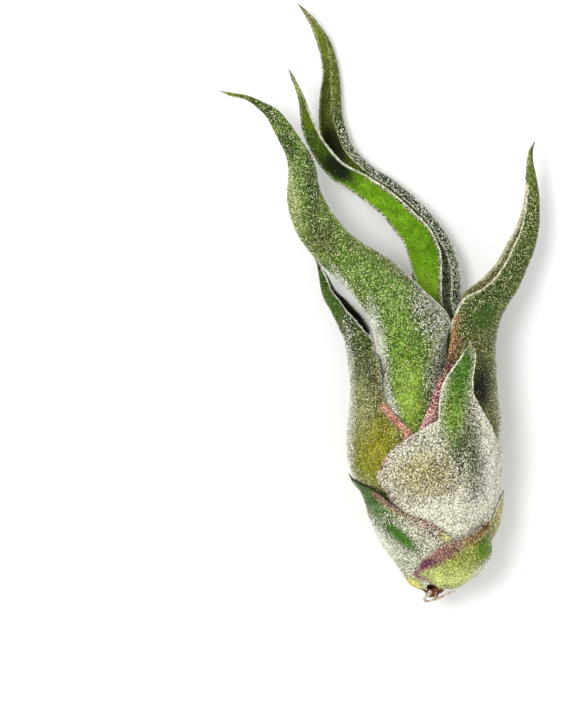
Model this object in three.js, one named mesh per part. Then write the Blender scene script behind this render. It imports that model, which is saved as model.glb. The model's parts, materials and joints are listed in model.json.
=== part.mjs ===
// A small air plant lying on its side: a rosette of ten overlapping leaves whose wide
// bases wrap round one another as a bulb, the stub of its stem and one dried root.
// Millimetres, +Z up. The plant lies along +Y, with its leaf tips towards +Y, and rests
// on z = 0. The origin is under the middle of its bounding box.
//
// Every leaf is a row of cross-sections. A section is an arc of a circle that stands in
// a vertical plane, and its angles are measured from straight up, positive to the right.
// In the bulb all the arcs share one axis, and each leaf has a layer of its own there.
// Sections are placed on a plan of the plant seen from above, drawn in quarter
// millimetres with x to the right and y downwards.
import * as THREE from "three";

const PLAN_MM = 0.25; // millimetres in one plan unit
const PLAN_ORIGIN = { x: 381, y: 303 }; // the plan point over the origin
const EYE = { x: 284.5, y: 356, height: 1500 }; // where the plan is seen from
const SHIFT = { x: 0.42, y: -0.17 }; // puts the bounding box over the origin

const AXIS_HEIGHT = 19.4; // the bulb's axis above the surface
const LAYER_PITCH = 1.15; // from one leaf base to the next one in
const PITCH_STARTS = 502; // plan y where the outer scale leaves begin to run out
const PITCH_ENDS = 456; // plan y where only the tall leaves are left
const EDGE_THICKNESS = 0.62;
const BASE_THICKNESS = 0.85;
const BLADE_THICKNESS = 1.15;
const ACROSS = 14; // facets across a leaf
const THICKEST_SHARE = 0.84; // of a section's radius

// The bulb's outline: plan y, centre x and radius in plan units.
const BULB = [
  [600, 434, 9], [595, 434, 12.5], [590, 434, 19], [586, 434, 27],
  [580, 436.7, 35], [573, 439, 42], [563, 440, 49.2], [550, 437.2, 57],
  [541, 435.5, 61], [530, 435.8, 66.5], [518, 435.3, 71], [505, 434.5, 73.4],
  [493, 432.7, 76.4], [478, 426, 80.6], [465, 424, 80.8], [440, 422.7, 80.8],
  [420, 425, 81.6], [400, 424.5, 79.1], [380, 423.5, 78], [360, 422.5, 78.6],
  [340, 420, 80],
];

// Plan rows that the leaf bases share, so that their facets nest.
const RINGS = [
  597, 591, 586, 580, 573, 566, 558, 549, 539, 528, 517, 504, 491, 478, 462, 446,
  432, 418, 402, 386, 370, 355, 345,
];

const rad = THREE.MathUtils.degToRad;

// A smooth value at `at`, from rows that start with their own position.
function smooth(rows, at, column = 1) {
  const up = rows[0][0] < rows[rows.length - 1][0] ? rows : [...rows].reverse();
  if (at <= up[0][0]) return up[0][column];
  if (at >= up[up.length - 1][0]) return up[up.length - 1][column];
  let i = 0;
  while (up[i + 1][0] < at) i += 1;
  const slope = (k) =>
    (up[k + 1][column] - up[k][column]) / (up[k + 1][0] - up[k][0]);
  const tangent = (k) => {
    if (k === 0) return slope(0);
    if (k === up.length - 1) return slope(k - 1);
    const before = slope(k - 1);
    const after = slope(k);
    return before * after <= 0 ? 0 : (2 * before * after) / (before + after);
  };
  const span = up[i + 1][0] - up[i][0];
  const t = (at - up[i][0]) / span;
  const a = up[i][column];
  const b = up[i + 1][column];
  const start = tangent(i) * span;
  const end = tangent(i + 1) * span;
  return (
    a + start * t + (3 * (b - a) - 2 * start - end) * t * t +
    (2 * (a - b) + start + end) * t * t * t
  );
}

// A plan point at a height, as the part's X and Y: what is nearer the eye looks larger.
function placed(x, y, z) {
  const scale = 1 - z / EYE.height;
  const px = EYE.x + (x - EYE.x) * scale;
  const py = EYE.y + (y - EYE.y) * scale;
  return [
    (px - PLAN_ORIGIN.x) * PLAN_MM + SHIFT.x,
    (PLAN_ORIGIN.y - py) * PLAN_MM + SHIFT.y,
  ];
}

// A section in the part's own frame: `run` is the level direction across the leaf.
function section(x, y, z, radius, from, to, run, floor, thick) {
  const [cx, cy] = placed(x, y, z);
  const scale = PLAN_MM * (1 - z / EYE.height);
  return { x: cx, y: cy, z, radius: radius * scale, from, to, run, floor, thick };
}

// A leaf base's section in the bulb, on its layer at plan y.
function ring(y, from, to, lowLayer, highLayer, lift) {
  const t = THREE.MathUtils.clamp((PITCH_STARTS - y) / (PITCH_STARTS - PITCH_ENDS), 0, 1);
  const layer = lowLayer + (highLayer - lowLayer) * t * t * (3 - 2 * t);
  const depth = layer * LAYER_PITCH;
  const radius = smooth(BULB, y, 2) - depth / PLAN_MM + lift;
  const x = smooth(BULB, y, 1);
  return section(x, y, AXIS_HEIGHT, radius, from, to, [1, 0], depth, BASE_THICKNESS);
}

// A section given by its circle's centre and radius.
function circle(x, y, z, radius, from, to, floor = 0) {
  return section(x, y, z, radius, from, to, [1, 0], floor, BASE_THICKNESS);
}

// The least and greatest sine of the angles from `from` to `to`.
function sineRange(from, to) {
  let low = Math.min(Math.sin(rad(from)), Math.sin(rad(to)));
  let high = Math.max(Math.sin(rad(from)), Math.sin(rad(to)));
  for (let turn = -630; turn <= 630; turn += 360) {
    if (turn > from && turn < to) high = 1;
    if (turn + 180 > from && turn + 180 < to) low = -1;
  }
  return [low, high];
}

// A blade's section, given by its left and right outline on the plan.
function blade(xl, yl, xr, yr, z, from, to) {
  const [low, high] = sineRange(from, to);
  const width = Math.hypot(xr - xl, yr - yl);
  const radius = width / (high - low);
  const run = [(xr - xl) / width, -(yr - yl) / width];
  const share = -low / (high - low);
  const x = xl + (xr - xl) * share;
  const y = yl + (yr - yl) * share;
  return section(x, y, z, radius, from, to, run, 0, BLADE_THICKNESS);
}

// The sections of a leaf base from its lowest row to its highest.
function base(leaf) {
  const rows = RINGS.filter((y) => y < leaf.starts && y > leaf.ends);
  const all = [leaf.starts, ...rows, ...(leaf.extra ?? []), leaf.ends];
  const sorted = [...new Set(all)].sort((a, b) => b - a);
  return sorted.map((y) =>
    ring(
      y, smooth(leaf.left, y), smooth(leaf.right, y), leaf.low, leaf.high,
      leaf.lift ? smooth(leaf.lift, y) : 0,
    ),
  );
}

// The outer and the inner point of a section at `share` of its width.
function wallPoints(s, share) {
  const angle = rad(s.from + (s.to - s.from) * share);
  const swell = Math.pow(Math.sin(Math.PI * share), 0.6);
  const full = EDGE_THICKNESS + (s.thick - EDGE_THICKNESS) * swell;
  const thickness = Math.min(full, s.radius * THICKEST_SHARE);
  return [s.radius, s.radius - thickness].map((r, i) => {
    const level = r * Math.sin(angle);
    const height = s.z + r * Math.cos(angle);
    return new THREE.Vector3(
      s.x + level * s.run[0],
      s.y + level * s.run[1],
      Math.max(height, s.floor + i * thickness),
    );
  });
}

// One closed leaf: its outer skin, its inner skin, both margins and both ends.
function leafGeometry(sections) {
  const points = [];
  for (const s of sections)
    for (let j = 0; j <= ACROSS; j += 1)
      points.push(...wallPoints(s, j / ACROSS));
  const outer = (i, j) => 2 * (i * (ACROSS + 1) + j);
  const inner = (i, j) => outer(i, j) + 1;
  const faces = [];
  const quad = (a, b, c, d) => faces.push(a, b, c, a, c, d);
  const last = sections.length - 1;
  for (let i = 0; i < last; i += 1) {
    for (let j = 0; j < ACROSS; j += 1) {
      quad(outer(i, j), outer(i, j + 1), outer(i + 1, j + 1), outer(i + 1, j));
      faces.push(inner(i, j), inner(i + 1, j + 1), inner(i, j + 1));
      faces.push(inner(i, j), inner(i + 1, j), inner(i + 1, j + 1));
    }
    quad(outer(i, 0), outer(i + 1, 0), inner(i + 1, 0), inner(i, 0));
    quad(outer(i, ACROSS), inner(i, ACROSS), inner(i + 1, ACROSS), outer(i + 1, ACROSS));
  }
  for (let j = 0; j < ACROSS; j += 1) {
    quad(outer(0, j), inner(0, j), inner(0, j + 1), outer(0, j + 1));
    quad(outer(last, j), outer(last, j + 1), inner(last, j + 1), inner(last, j));
  }
  const geometry = new THREE.BufferGeometry().setFromPoints(points);
  geometry.setIndex(faces);
  geometry.computeVertexNormals();
  return geometry;
}

function leafMesh(name, colour, sections) {
  const material = new THREE.MeshStandardMaterial({
    color: colour, roughness: 0.72, metalness: 0, flatShading: true,
  });
  const mesh = new THREE.Mesh(leafGeometry(sections), material);
  mesh.name = name;
  return mesh;
}

// The short scale leaf at the front right of the base, outermost of all.
function baseRightLeaf() {
  return leafMesh("leaf_base_right", "#8f9a62", base({
    starts: 588, ends: 516, low: 0, high: 0, extra: [583, 576, 544, 534, 522],
    left: [
      [588, 15], [584, 0], [581, -17], [578, -30], [574, -43], [567, -32],
      [560, -24], [553, -9.5], [546, 1.5], [541, 14], [536, 28], [530, 39.4],
      [524, 44.5], [516, 48],
    ],
    right: [
      [588, 100], [584, 118], [580, 127], [574, 128], [567, 120], [560, 110],
      [552, 95], [546, 82], [540, 72], [530, 57.7], [524, 53], [520, 51.5],
      [516, 50.3],
    ],
  }));
}

// The scale leaf at the front left, with its point standing off the bulb.
function baseLeftLeaf() {
  return leafMesh("leaf_base_left", "#7d9157", base({
    starts: 589, ends: 474, low: 1, high: 1, extra: [523, 511, 497, 484, 479, 476],
    left: [
      [590, -130], [585, -150], [579, -160], [560, -166], [545, -165], [528, -155],
      [510, -140], [500, -127], [490, -113], [484, -106], [479, -100], [476, -96],
      [474, -93.4],
    ],
    right: [
      [590, -40], [585, -22], [579, -8], [573, 2], [560, 13], [549, 17.5],
      [537, 16.3], [531, 8.6], [525, -0.5], [519, -9], [516, -17.7],
      [513, -26.4], [507, -35.4], [500, -44], [492, -53], [484, -69],
      [479, -83], [476, -88.8], [474, -91.2],
    ],
    lift: [[590, 0], [484, 0], [479, 0.5], [474, 2]],
  }));
}

// The scale leaf behind the right side, mostly hidden by its neighbours.
function baseBackLeaf() {
  return leafMesh("leaf_base_back", "#8a9a52", base({
    starts: 588, ends: 491, low: 1, high: 1, extra: [498],
    left: [
      [588, 70], [579, 60], [566, 52], [549, 50], [535, 54], [520, 62], [508, 72],
      [500, 81], [495, 88], [491, 91.8],
    ],
    right: [
      [588, 160], [579, 176], [566, 180], [549, 174], [535, 163], [520, 147],
      [508, 127], [500, 110], [495, 99], [491, 94.2],
    ],
    lift: [[588, 0], [502, 0], [491, 1]],
  }));
}

// The leaf under the bulb, flat where the plant's weight rests on it.
function underLeaf() {
  return leafMesh("leaf_under", "#8c9468", base({
    starts: 597, ends: 424, low: 0, high: 0, extra: [470, 454, 439],
    left: [
      [597, 155], [590, 138], [579, 136], [566, 134], [549, 128], [530, 120],
      [510, 116], [490, 118], [470, 126], [455, 137], [440, 152], [430, 166],
      [424, 178.5],
    ],
    right: [
      [597, 225], [590, 232], [579, 238], [566, 241], [549, 243], [530, 243],
      [510, 242], [490, 240], [470, 235], [455, 226], [440, 211], [430, 196],
      [424, 181.3],
    ],
  }));
}

// The broad silvery front leaf with a short upright blade.
function frontLeaf() {
  return leafMesh("leaf_front", "#b4b9a4", base({
    starts: 577, ends: 341, low: 2, high: 0, extra: [484, 470, 454, 439, 425, 410, 394, 362, 350],
    left: [
      [577, -50], [566, -66], [549, -72], [530, -68], [515, -60], [505, -51],
      [497, -45.5], [488, -45], [478, -42.7], [470, -37.4], [460, -31.6], [452, -26.2],
      [445, -20.4], [438, -12.7], [432, -6.1], [424, 2.5], [419, 8.3],
      [410, 8.9], [398, 9.9], [388, 11.7], [378, 15.3], [368, 20.2],
      [358, 26], [348, 30.8], [341, 33.4],
    ],
    right: [
      [577, 80], [566, 95], [549, 108], [530, 116], [510, 119], [490, 117],
      [475, 111], [460, 100], [452, 90], [447, 76], [440, 66.9], [427, 53.9],
      [415, 46], [402, 40.4], [392, 36.8], [380, 36.6], [365, 38], [355, 38.5],
      [348, 37.3], [341, 35.6],
    ],
    lift: [[577, 0], [400, 0], [380, 1.5], [360, 3.5], [341, 6]],
  }));
}

// The left leaf: a channel that opens to the right and runs out to a fine point.
function leftLeaf() {
  const sections = base({
    starts: 572, ends: 384, low: 3, high: 1, extra: [425, 410, 394],
    left: [
      [572, -150], [560, -165], [540, -172], [500, -175], [440, -175],
      [424, -173], [404, -168], [388, -163], [372, -155], [355, -140],
    ],
    right: [
      [572, -30], [560, -20], [540, -13], [520, -10], [500, -9], [433, -9.4],
      [424, -17], [413, -25.6], [400, -33], [388, -36], [372, -36.4],
      [355, -37],
    ],
  });
  sections.push(
    circle(416.5, 371, 19.3, 67.7, -154, -33),
    circle(404.5, 359.5, 18.7, 57, -150, -28),
    circle(385, 349, 17.6, 39, -160, -17.5),
    blade(344, 340, 372, 340, 17.6, -172, -1),
    blade(339.5, 330, 370, 330, 16.8, -208, 8),
    blade(335, 320, 365, 320, 15.8, -216, 3),
    blade(330, 310, 356.5, 310, 14.8, -230, 3),
    blade(324.5, 300, 347, 300, 13.8, -234, 8),
    blade(321, 290, 336, 290, 12.9, -234, 14),
    blade(319.3, 280, 330, 280, 12.2, -232, 22),
    blade(318.3, 272, 325.2, 272, 11.8, -215, 10),
    blade(316.3, 265, 319.8, 265, 11.6, -130, -50),
    blade(312, 257.5, 315, 258.5, 11.6, -120, -60),
  );
  return leafMesh("leaf_left", "#6f7d46", sections);
}

// The right leaf, which leans out with its channel turned to the left.
function rightLeaf() {
  const sections = base({
    starts: 572, ends: 370, low: 3, high: 1, extra: [410, 394],
    left: [
      [572, 0], [560, -3], [433, -5], [420, -2.6], [410, 0.9], [400, 4.2],
      [388, 7.4], [370, 14.5],
    ],
    right: [
      [572, 140], [560, 160], [540, 172], [500, 175], [440, 175], [420, 173],
      [404, 167], [388, 158], [370, 146],
    ],
  });
  sections.push(
    circle(432, 355, 19.4, 64, 13, 142),
    circle(440, 345, 19.4, 56, 8.7, 143),
    circle(446.5, 336, 19.4, 50.5, 3.5, 147),
    circle(456, 325, 19.4, 43.3, -8, 154),
    circle(467, 313, 19.4, 36.3, -19.5, 170),
    blade(462, 297, 505, 311, 19.3, -20, 205),
    blade(469, 288, 511, 300, 18.5, -19, 228),
    blade(480, 280, 516, 293, 17.5, -18, 230),
    blade(492, 268, 521, 283, 16.5, -18, 230),
    blade(500, 257, 527, 269, 15.5, -19, 230),
    blade(508, 242, 533.5, 253, 15, -20, 230),
    blade(515, 230, 537, 240, 14.5, -22, 230),
    blade(519.5, 218, 539.5, 226, 14.2, -24, 228),
    blade(523, 205, 540, 209, 14, -26, 225),
    blade(525.3, 190, 539, 191, 14.2, -28, 222),
    blade(526, 175, 536, 174.5, 14.6, -26, 215),
    blade(527.5, 160, 533, 159, 15.3, 10, 190),
    blade(530, 151, 533.2, 151.5, 16, 50, 130),
    blade(534.2, 142.5, 536.8, 143.8, 16.8, 60, 120),
  );
  return leafMesh("leaf_right", "#6d7a52", sections);
}

// The long front leaf: it leaves the bulb at the front and bends away to the left.
function longLeaf() {
  const sections = base({
    starts: 566, ends: 446, low: 4, high: 2,
    left: [[566, -75], [549, -90], [520, -96], [446, -97]],
    right: [[566, 55], [549, 64], [520, 68], [446, 68]],
  });
  sections.push(
    circle(419, 432, 21, 60, -96, 74, 1.5),
    circle(414, 418, 22.8, 51, -96, 82, 1),
    circle(410, 402, 25, 41.5, -97, 92),
    circle(409, 386, 26.3, 36, -98, 98),
    circle(411.5, 370, 27, 33, -98, 98),
    circle(412.2, 355, 27.6, 34.2, -98, 98),
    blade(375.3, 340, 447.5, 337, 28, -97, 97),
    blade(372.5, 329, 450.8, 324, 28, -95, 95),
    blade(368.5, 319, 447.5, 314, 27.5, -93, 93),
    blade(364.5, 312, 436.5, 302, 26.8, -91, 91),
    blade(360, 305, 422, 289, 26, -89, 89),
    blade(354, 297.5, 408, 274.5, 25.2, -88, 88),
    blade(347, 290, 396, 264, 24.6, -87, 87),
    blade(339, 282, 384, 255, 24, -87, 87),
    blade(331, 274.5, 372, 248, 23.5, -87, 87),
    blade(321, 265, 361, 241.5, 23, -87, 87),
    blade(312, 255, 350, 233, 22.6, -87, 87),
    blade(304, 245, 340, 222, 22.3, -87, 87),
    blade(297.5, 235, 331, 210, 22, -87, 87),
    blade(291.5, 220.5, 324.5, 199, 21.8, -87, 87),
    blade(288, 207, 320, 188, 21.6, -87, 87),
    blade(287, 194, 318, 179, 21.4, -87, 87),
    blade(288, 179, 316, 167, 21.2, -87, 87),
    blade(288, 165, 311, 154, 21, -87, 87),
    blade(285, 153, 305, 145, 20.7, -87, 87),
    blade(280, 143, 298, 135, 20.3, -87, 87),
    blade(273, 130, 289, 122, 19.8, -85, 85),
    blade(266.5, 117, 277.5, 109.5, 19.1, -80, 80),
    blade(256, 107, 263, 101.8, 18.2, -75, 75),
    blade(245, 99.5, 248.5, 95.8, 17.2, -50, 50),
    blade(232.5, 96.5, 234, 93.2, 16.3, -35, 35),
    blade(220.5, 93, 221.5, 90, 15.5, -30, 30),
  );
  return leafMesh("leaf_long", "#6f9440", sections);
}

// The middle leaf, seen on its bright inner face.
function middleLeaf() {
  const sections = base({
    starts: 556, ends: 446, low: 5, high: 3,
    left: [[556, 135], [540, 125], [500, 116], [446, 113]],
    right: [[556, 262], [540, 270], [500, 274], [446, 268]],
  });
  sections.push(
    circle(425, 432, 19.4, 66, 113, 263, 3.3),
    circle(425, 418, 19, 61.5, 113, 258, 3),
    circle(426, 402, 18.4, 56, 113, 256, 2),
    circle(427, 386, 17.8, 49, 112, 255, 1),
    circle(428, 370, 17.3, 42, 112, 254),
    circle(429, 355, 16.9, 35, 112, 253),
    circle(430, 340, 16.6, 28, 111, 252),
    circle(430.5, 325, 16.3, 21.5, 110, 251),
    circle(430, 312, 16.1, 16, 110, 250),
    blade(418, 300, 442.5, 299, 16, 110, 250),
    blade(413.5, 275, 442, 278, 15.5, 110, 250),
    blade(409.5, 260, 441, 253, 15, 110, 250),
    blade(401, 239, 427, 224, 14.8, 110, 250),
    blade(392, 228, 415, 213, 14.6, 110, 250),
    blade(382, 215, 402, 200, 14.4, 110, 250),
    blade(370, 205, 389, 189.5, 14.2, 110, 250),
    blade(358, 196, 375, 180, 14, 110, 250),
    blade(345, 187, 361, 172, 13.8, 110, 250),
    blade(333, 180, 348, 165.5, 13.6, 110, 250),
    blade(322, 168.5, 339, 158.5, 13.5, 110, 250),
    blade(315, 158, 331, 149.5, 13.6, 110, 250),
    blade(308, 145.5, 324, 140.5, 14, 112, 248),
    blade(302, 130, 317.3, 127.5, 14.6, 114, 246),
    blade(300, 115, 311.8, 114.5, 15.6, 118, 242),
    blade(298.8, 102, 306, 101, 16.8, 122, 238),
    blade(296.3, 91, 301, 90, 17.9, 140, 220),
    blade(292.3, 80.5, 295.5, 79.5, 19, 150, 210),
    blade(287.5, 70, 290.5, 69, 20.3, 150, 210),
  );
  return leafMesh("leaf_middle", "#6f9a1f", sections);
}

// The topmost leaf: a channel with its right wall rolled over, low along the surface.
function topLeaf() {
  const sections = base({
    starts: 566, ends: 446, low: 4, high: 2,
    left: [[566, 97], [549, 88], [520, 82], [446, 80]],
    right: [[566, 235], [549, 246], [520, 250], [446, 251]],
  });
  sections.push(
    circle(424.5, 432, 19.4, 71.5, 80, 251, 2.2),
    circle(425, 418, 19.2, 70, 80, 251, 1.6),
    circle(426, 402, 18.6, 65, 78, 250, 1),
    circle(427, 386, 17.8, 59, 76, 250),
    circle(428, 370, 16.6, 52.5, 72, 250),
    circle(429, 355, 15.2, 46.5, 66, 250),
    circle(430, 340, 13.8, 40.5, 58, 250),
    circle(430.5, 325, 12.5, 34.5, 50, 250),
    circle(431.5, 312, 11.5, 31, 44, 250),
    blade(404, 300, 461, 299, 10.7, 40, 250),
    blade(410, 285, 461, 280, 9.6, 40, 250),
    blade(412.5, 271, 457.5, 257, 8.6, 38, 250),
    blade(410, 257, 448.5, 238, 7.6, 36, 250),
    blade(401.5, 238, 431, 213, 6.6, 34, 250),
    blade(388.5, 220, 413, 196, 5.7, 32, 250),
    blade(377, 206, 393.5, 180, 4.9, 30, 250),
    blade(358.5, 193, 375.5, 169, 4.3, 28, 250),
    blade(342, 177, 362.5, 157.5, 3.9, 26, 250),
    blade(328, 158.5, 352.5, 145, 3.65, 20, 250),
    blade(320.8, 136.5, 346.5, 130, 3.35, 16, 250),
    blade(318.8, 114, 342.3, 112, 2.95, 9, 250),
    blade(319.5, 96, 341.2, 95, 2.75, 5, 250),
    blade(322, 80.5, 340.2, 80, 2.4, 0, 250),
    blade(322, 66, 337.5, 63.5, 2.5, 8, 250),
    blade(320, 53.5, 333.5, 50, 2.9, 17, 248),
    blade(317, 43.5, 328.3, 38, 3.7, 40, 244),
    blade(313, 32, 320.5, 26, 5.1, 75, 235),
    blade(307.7, 20.3, 312.5, 16, 6.6, 110, 230),
    blade(302.3, 11.3, 305, 8.8, 8, 145, 215),
    blade(297, 5, 299.4, 2.9, 9.3, 150, 210),
  );
  return leafMesh("leaf_top", "#65763a", sections);
}

// The stub of the stem: a core that carries the leaf bases, with a broken end.
function stem() {
  const profile = [
    [0, 592.5], [1.0, 592.5], [1.15, 591], [1.2, 585.5], [3.8, 584], [5.2, 579],
    [5.7, 573], [5.7, 558], [4.0, 546], [1.5, 536], [0, 536],
  ].map(([r, y]) => new THREE.Vector2(r, placed(438.5, y, AXIS_HEIGHT)[1]));
  const geometry = new THREE.LatheGeometry(profile, 20);
  const material = new THREE.MeshStandardMaterial({
    color: "#4a3322", roughness: 0.9, metalness: 0,
  });
  const mesh = new THREE.Mesh(geometry, material);
  mesh.name = "stem";
  mesh.position.set(placed(438.5, 590, AXIS_HEIGHT)[0], 0, AXIS_HEIGHT);
  return mesh;
}

// The dried root, looped round the end of the stem.
function root() {
  const bends = [
    [431, 591, 21.7], [427, 596.5, 21.6], [424.6, 600.3, 20.6], [428, 601.3, 19.6],
    [434, 599.3, 19.5], [444, 595.2, 20.2], [455, 591, 20.8],
  ].map(([x, y, z]) => new THREE.Vector3(...placed(x, y, z), z));
  const path = new THREE.CatmullRomCurve3(bends);
  const outline = new THREE.Shape();
  outline.absarc(0, 0, 0.36, 0, Math.PI * 2);
  const geometry = new THREE.ExtrudeGeometry(outline, {
    steps: 26, curveSegments: 4, bevelEnabled: false, extrudePath: path,
  });
  const material = new THREE.MeshStandardMaterial({
    color: "#b09a82", roughness: 0.9, metalness: 0,
  });
  const mesh = new THREE.Mesh(geometry, material);
  mesh.name = "root";
  return mesh;
}

const plant = new THREE.Group();
plant.add(
  baseRightLeaf(), baseLeftLeaf(), baseBackLeaf(), underLeaf(), frontLeaf(),
  leftLeaf(), rightLeaf(), longLeaf(), middleLeaf(), topLeaf(), stem(), root(),
);

export default plant;
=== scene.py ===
"""Looks of a small air plant lying on its side: ten downy leaves, the stub of the stem
and one dried root, each rebuilt finely in the place of its solid.

It is laid out as a Blender add-on and run as a script. Blender units are metres, and
the plan that the leaves are drawn on is in quarter millimetres, as in the part's source.
"""

import json
import math
from collections import namedtuple

import bmesh
import bpy
import numpy as np
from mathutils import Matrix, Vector, noise
from mathutils.bvhtree import BVHTree

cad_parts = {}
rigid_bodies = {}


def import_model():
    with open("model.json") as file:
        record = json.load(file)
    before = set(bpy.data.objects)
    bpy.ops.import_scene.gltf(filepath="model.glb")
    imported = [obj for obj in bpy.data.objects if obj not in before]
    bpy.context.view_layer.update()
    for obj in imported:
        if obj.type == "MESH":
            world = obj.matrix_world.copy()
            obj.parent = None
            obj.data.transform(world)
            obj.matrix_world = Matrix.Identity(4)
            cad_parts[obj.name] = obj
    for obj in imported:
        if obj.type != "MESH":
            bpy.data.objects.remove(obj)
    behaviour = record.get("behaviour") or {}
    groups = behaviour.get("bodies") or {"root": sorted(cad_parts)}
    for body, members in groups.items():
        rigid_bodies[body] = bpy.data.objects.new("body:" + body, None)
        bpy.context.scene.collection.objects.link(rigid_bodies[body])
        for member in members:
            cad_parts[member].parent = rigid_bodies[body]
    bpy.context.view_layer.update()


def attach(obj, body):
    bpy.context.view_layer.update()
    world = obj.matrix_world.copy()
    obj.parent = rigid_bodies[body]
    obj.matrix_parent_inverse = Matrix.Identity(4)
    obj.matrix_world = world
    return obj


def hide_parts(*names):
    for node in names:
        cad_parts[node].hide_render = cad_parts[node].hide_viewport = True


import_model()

bl_info = {
    "name": "Air plant",
    "version": (1, 0, 0),
    "blender": (4, 5, 0),
    "location": "3D View > Sidebar > Air plant",
    "description": "Builds the leaves, scales, stem, root and stage of a small air plant",
    "category": "Object",
}

MM = 0.001

PLAN_MM = 0.25  # millimetres in one plan unit
PLAN_ORIGIN = (381.0, 303.0)  # the plan point over the origin
EYE = (284.5, 356.0, 1500.0)  # where the plan is seen from: x, y and height in mm
SHIFT = (0.42, -0.17)  # puts the bounding box over the origin

AXIS_HEIGHT = 19.4  # the bulb's axis above the surface
LAYER_PITCH = 1.15  # from one leaf base to the next one in
PITCH_STARTS = 502.0  # plan y where the outer scale leaves begin to run out
PITCH_ENDS = 456.0  # plan y where only the tall leaves are left
HUG_STARTS = 480.0  # plan y down from which the margins lie close
HUG_ENDS = 446.0  # plan y up from which they stand free
BASE_THICKNESS = 0.85
BLADE_THICKNESS = 1.15
THICKEST_SHARE = 0.84  # of a section's radius
BASE_ROW = 2.0  # plan units between the rows of a leaf base
LEAST_OPEN = 0.8 * MM  # a skin with another leaf nearer than this carries no scales
TIP_TAPER = 3.0  # millimetres over which a tip is drawn in
TIP_SHARE = 0.3  # of its section's width that is left at the tip
CLUMP_SCALE = 2500.0  # of the noise that gathers the scales, and paints shade on the skin between them
CLUMP_DETAIL = 1.5
CLOSER = 0.18  # millimetres that a margin lies in past the thinning of its leaf

# The bulb's outline: plan y, centre x and radius in plan units.
BULB = [
    [600, 434, 9], [595, 434, 12.5], [590, 434, 19], [586, 434, 27],
    [580, 436.7, 35], [573, 439, 42], [563, 440, 49.2], [550, 437.2, 57],
    [541, 435.5, 61], [530, 435.8, 66.5], [518, 435.3, 71], [505, 434.5, 73.4],
    [493, 432.7, 76.4], [478, 426, 80.6], [465, 424, 80.8], [440, 422.7, 80.8],
    [420, 425, 81.6], [400, 424.5, 79.1], [380, 423.5, 78], [360, 422.5, 78.6],
    [340, 420, 80],
]

# `hug` is how far a section's thin margins lie in against the leaf below, from 0 to 1.
Section = namedtuple("Section", "x y z radius start end run floor thick hug")


# ---------------------------------------------------------------- sections


def smooth(rows, at, column=1):
    """A smooth value at `at`, from rows that start with their own position."""
    up = sorted(rows)
    if at <= up[0][0]:
        return up[0][column]
    if at >= up[-1][0]:
        return up[-1][column]
    i = max(k for k in range(len(up) - 1) if up[k][0] < at or k == 0)

    def slope(k):
        return (up[k + 1][column] - up[k][column]) / (up[k + 1][0] - up[k][0])

    def tangent(k):
        if k == 0:
            return slope(0)
        if k == len(up) - 1:
            return slope(k - 1)
        before, after = slope(k - 1), slope(k)
        if before * after <= 0:
            return 0.0
        return 2 * before * after / (before + after)

    span = up[i + 1][0] - up[i][0]
    t = (at - up[i][0]) / span
    a, b = up[i][column], up[i + 1][column]
    start, end = tangent(i) * span, tangent(i + 1) * span
    square = (3 * (b - a) - 2 * start - end) * t * t
    cube = (2 * (a - b) + start + end) * t * t * t
    return a + start * t + square + cube


def placed(x, y, z):
    """A plan point at a height, as X and Y in millimetres."""
    scale = 1 - z / EYE[2]
    px = EYE[0] + (x - EYE[0]) * scale
    py = EYE[1] + (y - EYE[1]) * scale
    return (
        (px - PLAN_ORIGIN[0]) * PLAN_MM + SHIFT[0],
        (PLAN_ORIGIN[1] - py) * PLAN_MM + SHIFT[1],
    )


def plan_of(points):
    """The plan x and y under which millimetre points are seen."""
    scale = 1 - points[..., 2] / EYE[2]
    px = (points[..., 0] - SHIFT[0]) / PLAN_MM + PLAN_ORIGIN[0]
    py = PLAN_ORIGIN[1] - (points[..., 1] - SHIFT[1]) / PLAN_MM
    return EYE[0] + (px - EYE[0]) / scale, EYE[1] + (py - EYE[1]) / scale


def section(x, y, z, radius, start, end, run, floor, thick, hug=0.0):
    """A section in millimetres. `run` is the level direction across the leaf."""
    cx, cy = placed(x, y, z)
    scale = PLAN_MM * (1 - z / EYE[2])
    return Section(cx, cy, z, radius * scale, start, end, run, floor, thick, hug)


def ring(y, start, end, low_layer, high_layer, lift):
    """A leaf base's section in the bulb, on its layer at plan y."""
    t = min(max((PITCH_STARTS - y) / (PITCH_STARTS - PITCH_ENDS), 0), 1)
    layer = low_layer + (high_layer - low_layer) * t * t * (3 - 2 * t)
    depth = layer * LAYER_PITCH
    radius = smooth(BULB, y, 2) - depth / PLAN_MM + lift
    centre = smooth(BULB, y, 1)
    place = (centre, y, AXIS_HEIGHT, radius)
    hug = min(max((y - HUG_ENDS) / (HUG_STARTS - HUG_ENDS), 0), 1)
    return section(*place, start, end, (1, 0), depth, BASE_THICKNESS, hug)


def circle(x, y, z, radius, start, end, floor=0.0):
    """A section given by its circle's centre and radius."""
    return section(x, y, z, radius, start, end, (1, 0), floor, BASE_THICKNESS)


def sine_range(start, end):
    """The least and greatest sine of the angles from start to end."""
    sines = [math.sin(math.radians(start)), math.sin(math.radians(end))]
    low, high = min(sines), max(sines)
    for turn in range(-630, 631, 360):
        if start < turn < end:
            high = 1.0
        if start < turn + 180 < end:
            low = -1.0
    return low, high


def blade(xl, yl, xr, yr, z, start, end):
    """A blade's section, given by its left and right outline on the plan."""
    low, high = sine_range(start, end)
    width = math.hypot(xr - xl, yr - yl)
    radius = width / (high - low)
    run = ((xr - xl) / width, -(yr - yl) / width)
    share = -low / (high - low)
    x = xl + (xr - xl) * share
    y = yl + (yr - yl) * share
    return section(x, y, z, radius, start, end, run, 0.0, BLADE_THICKNESS)


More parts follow.
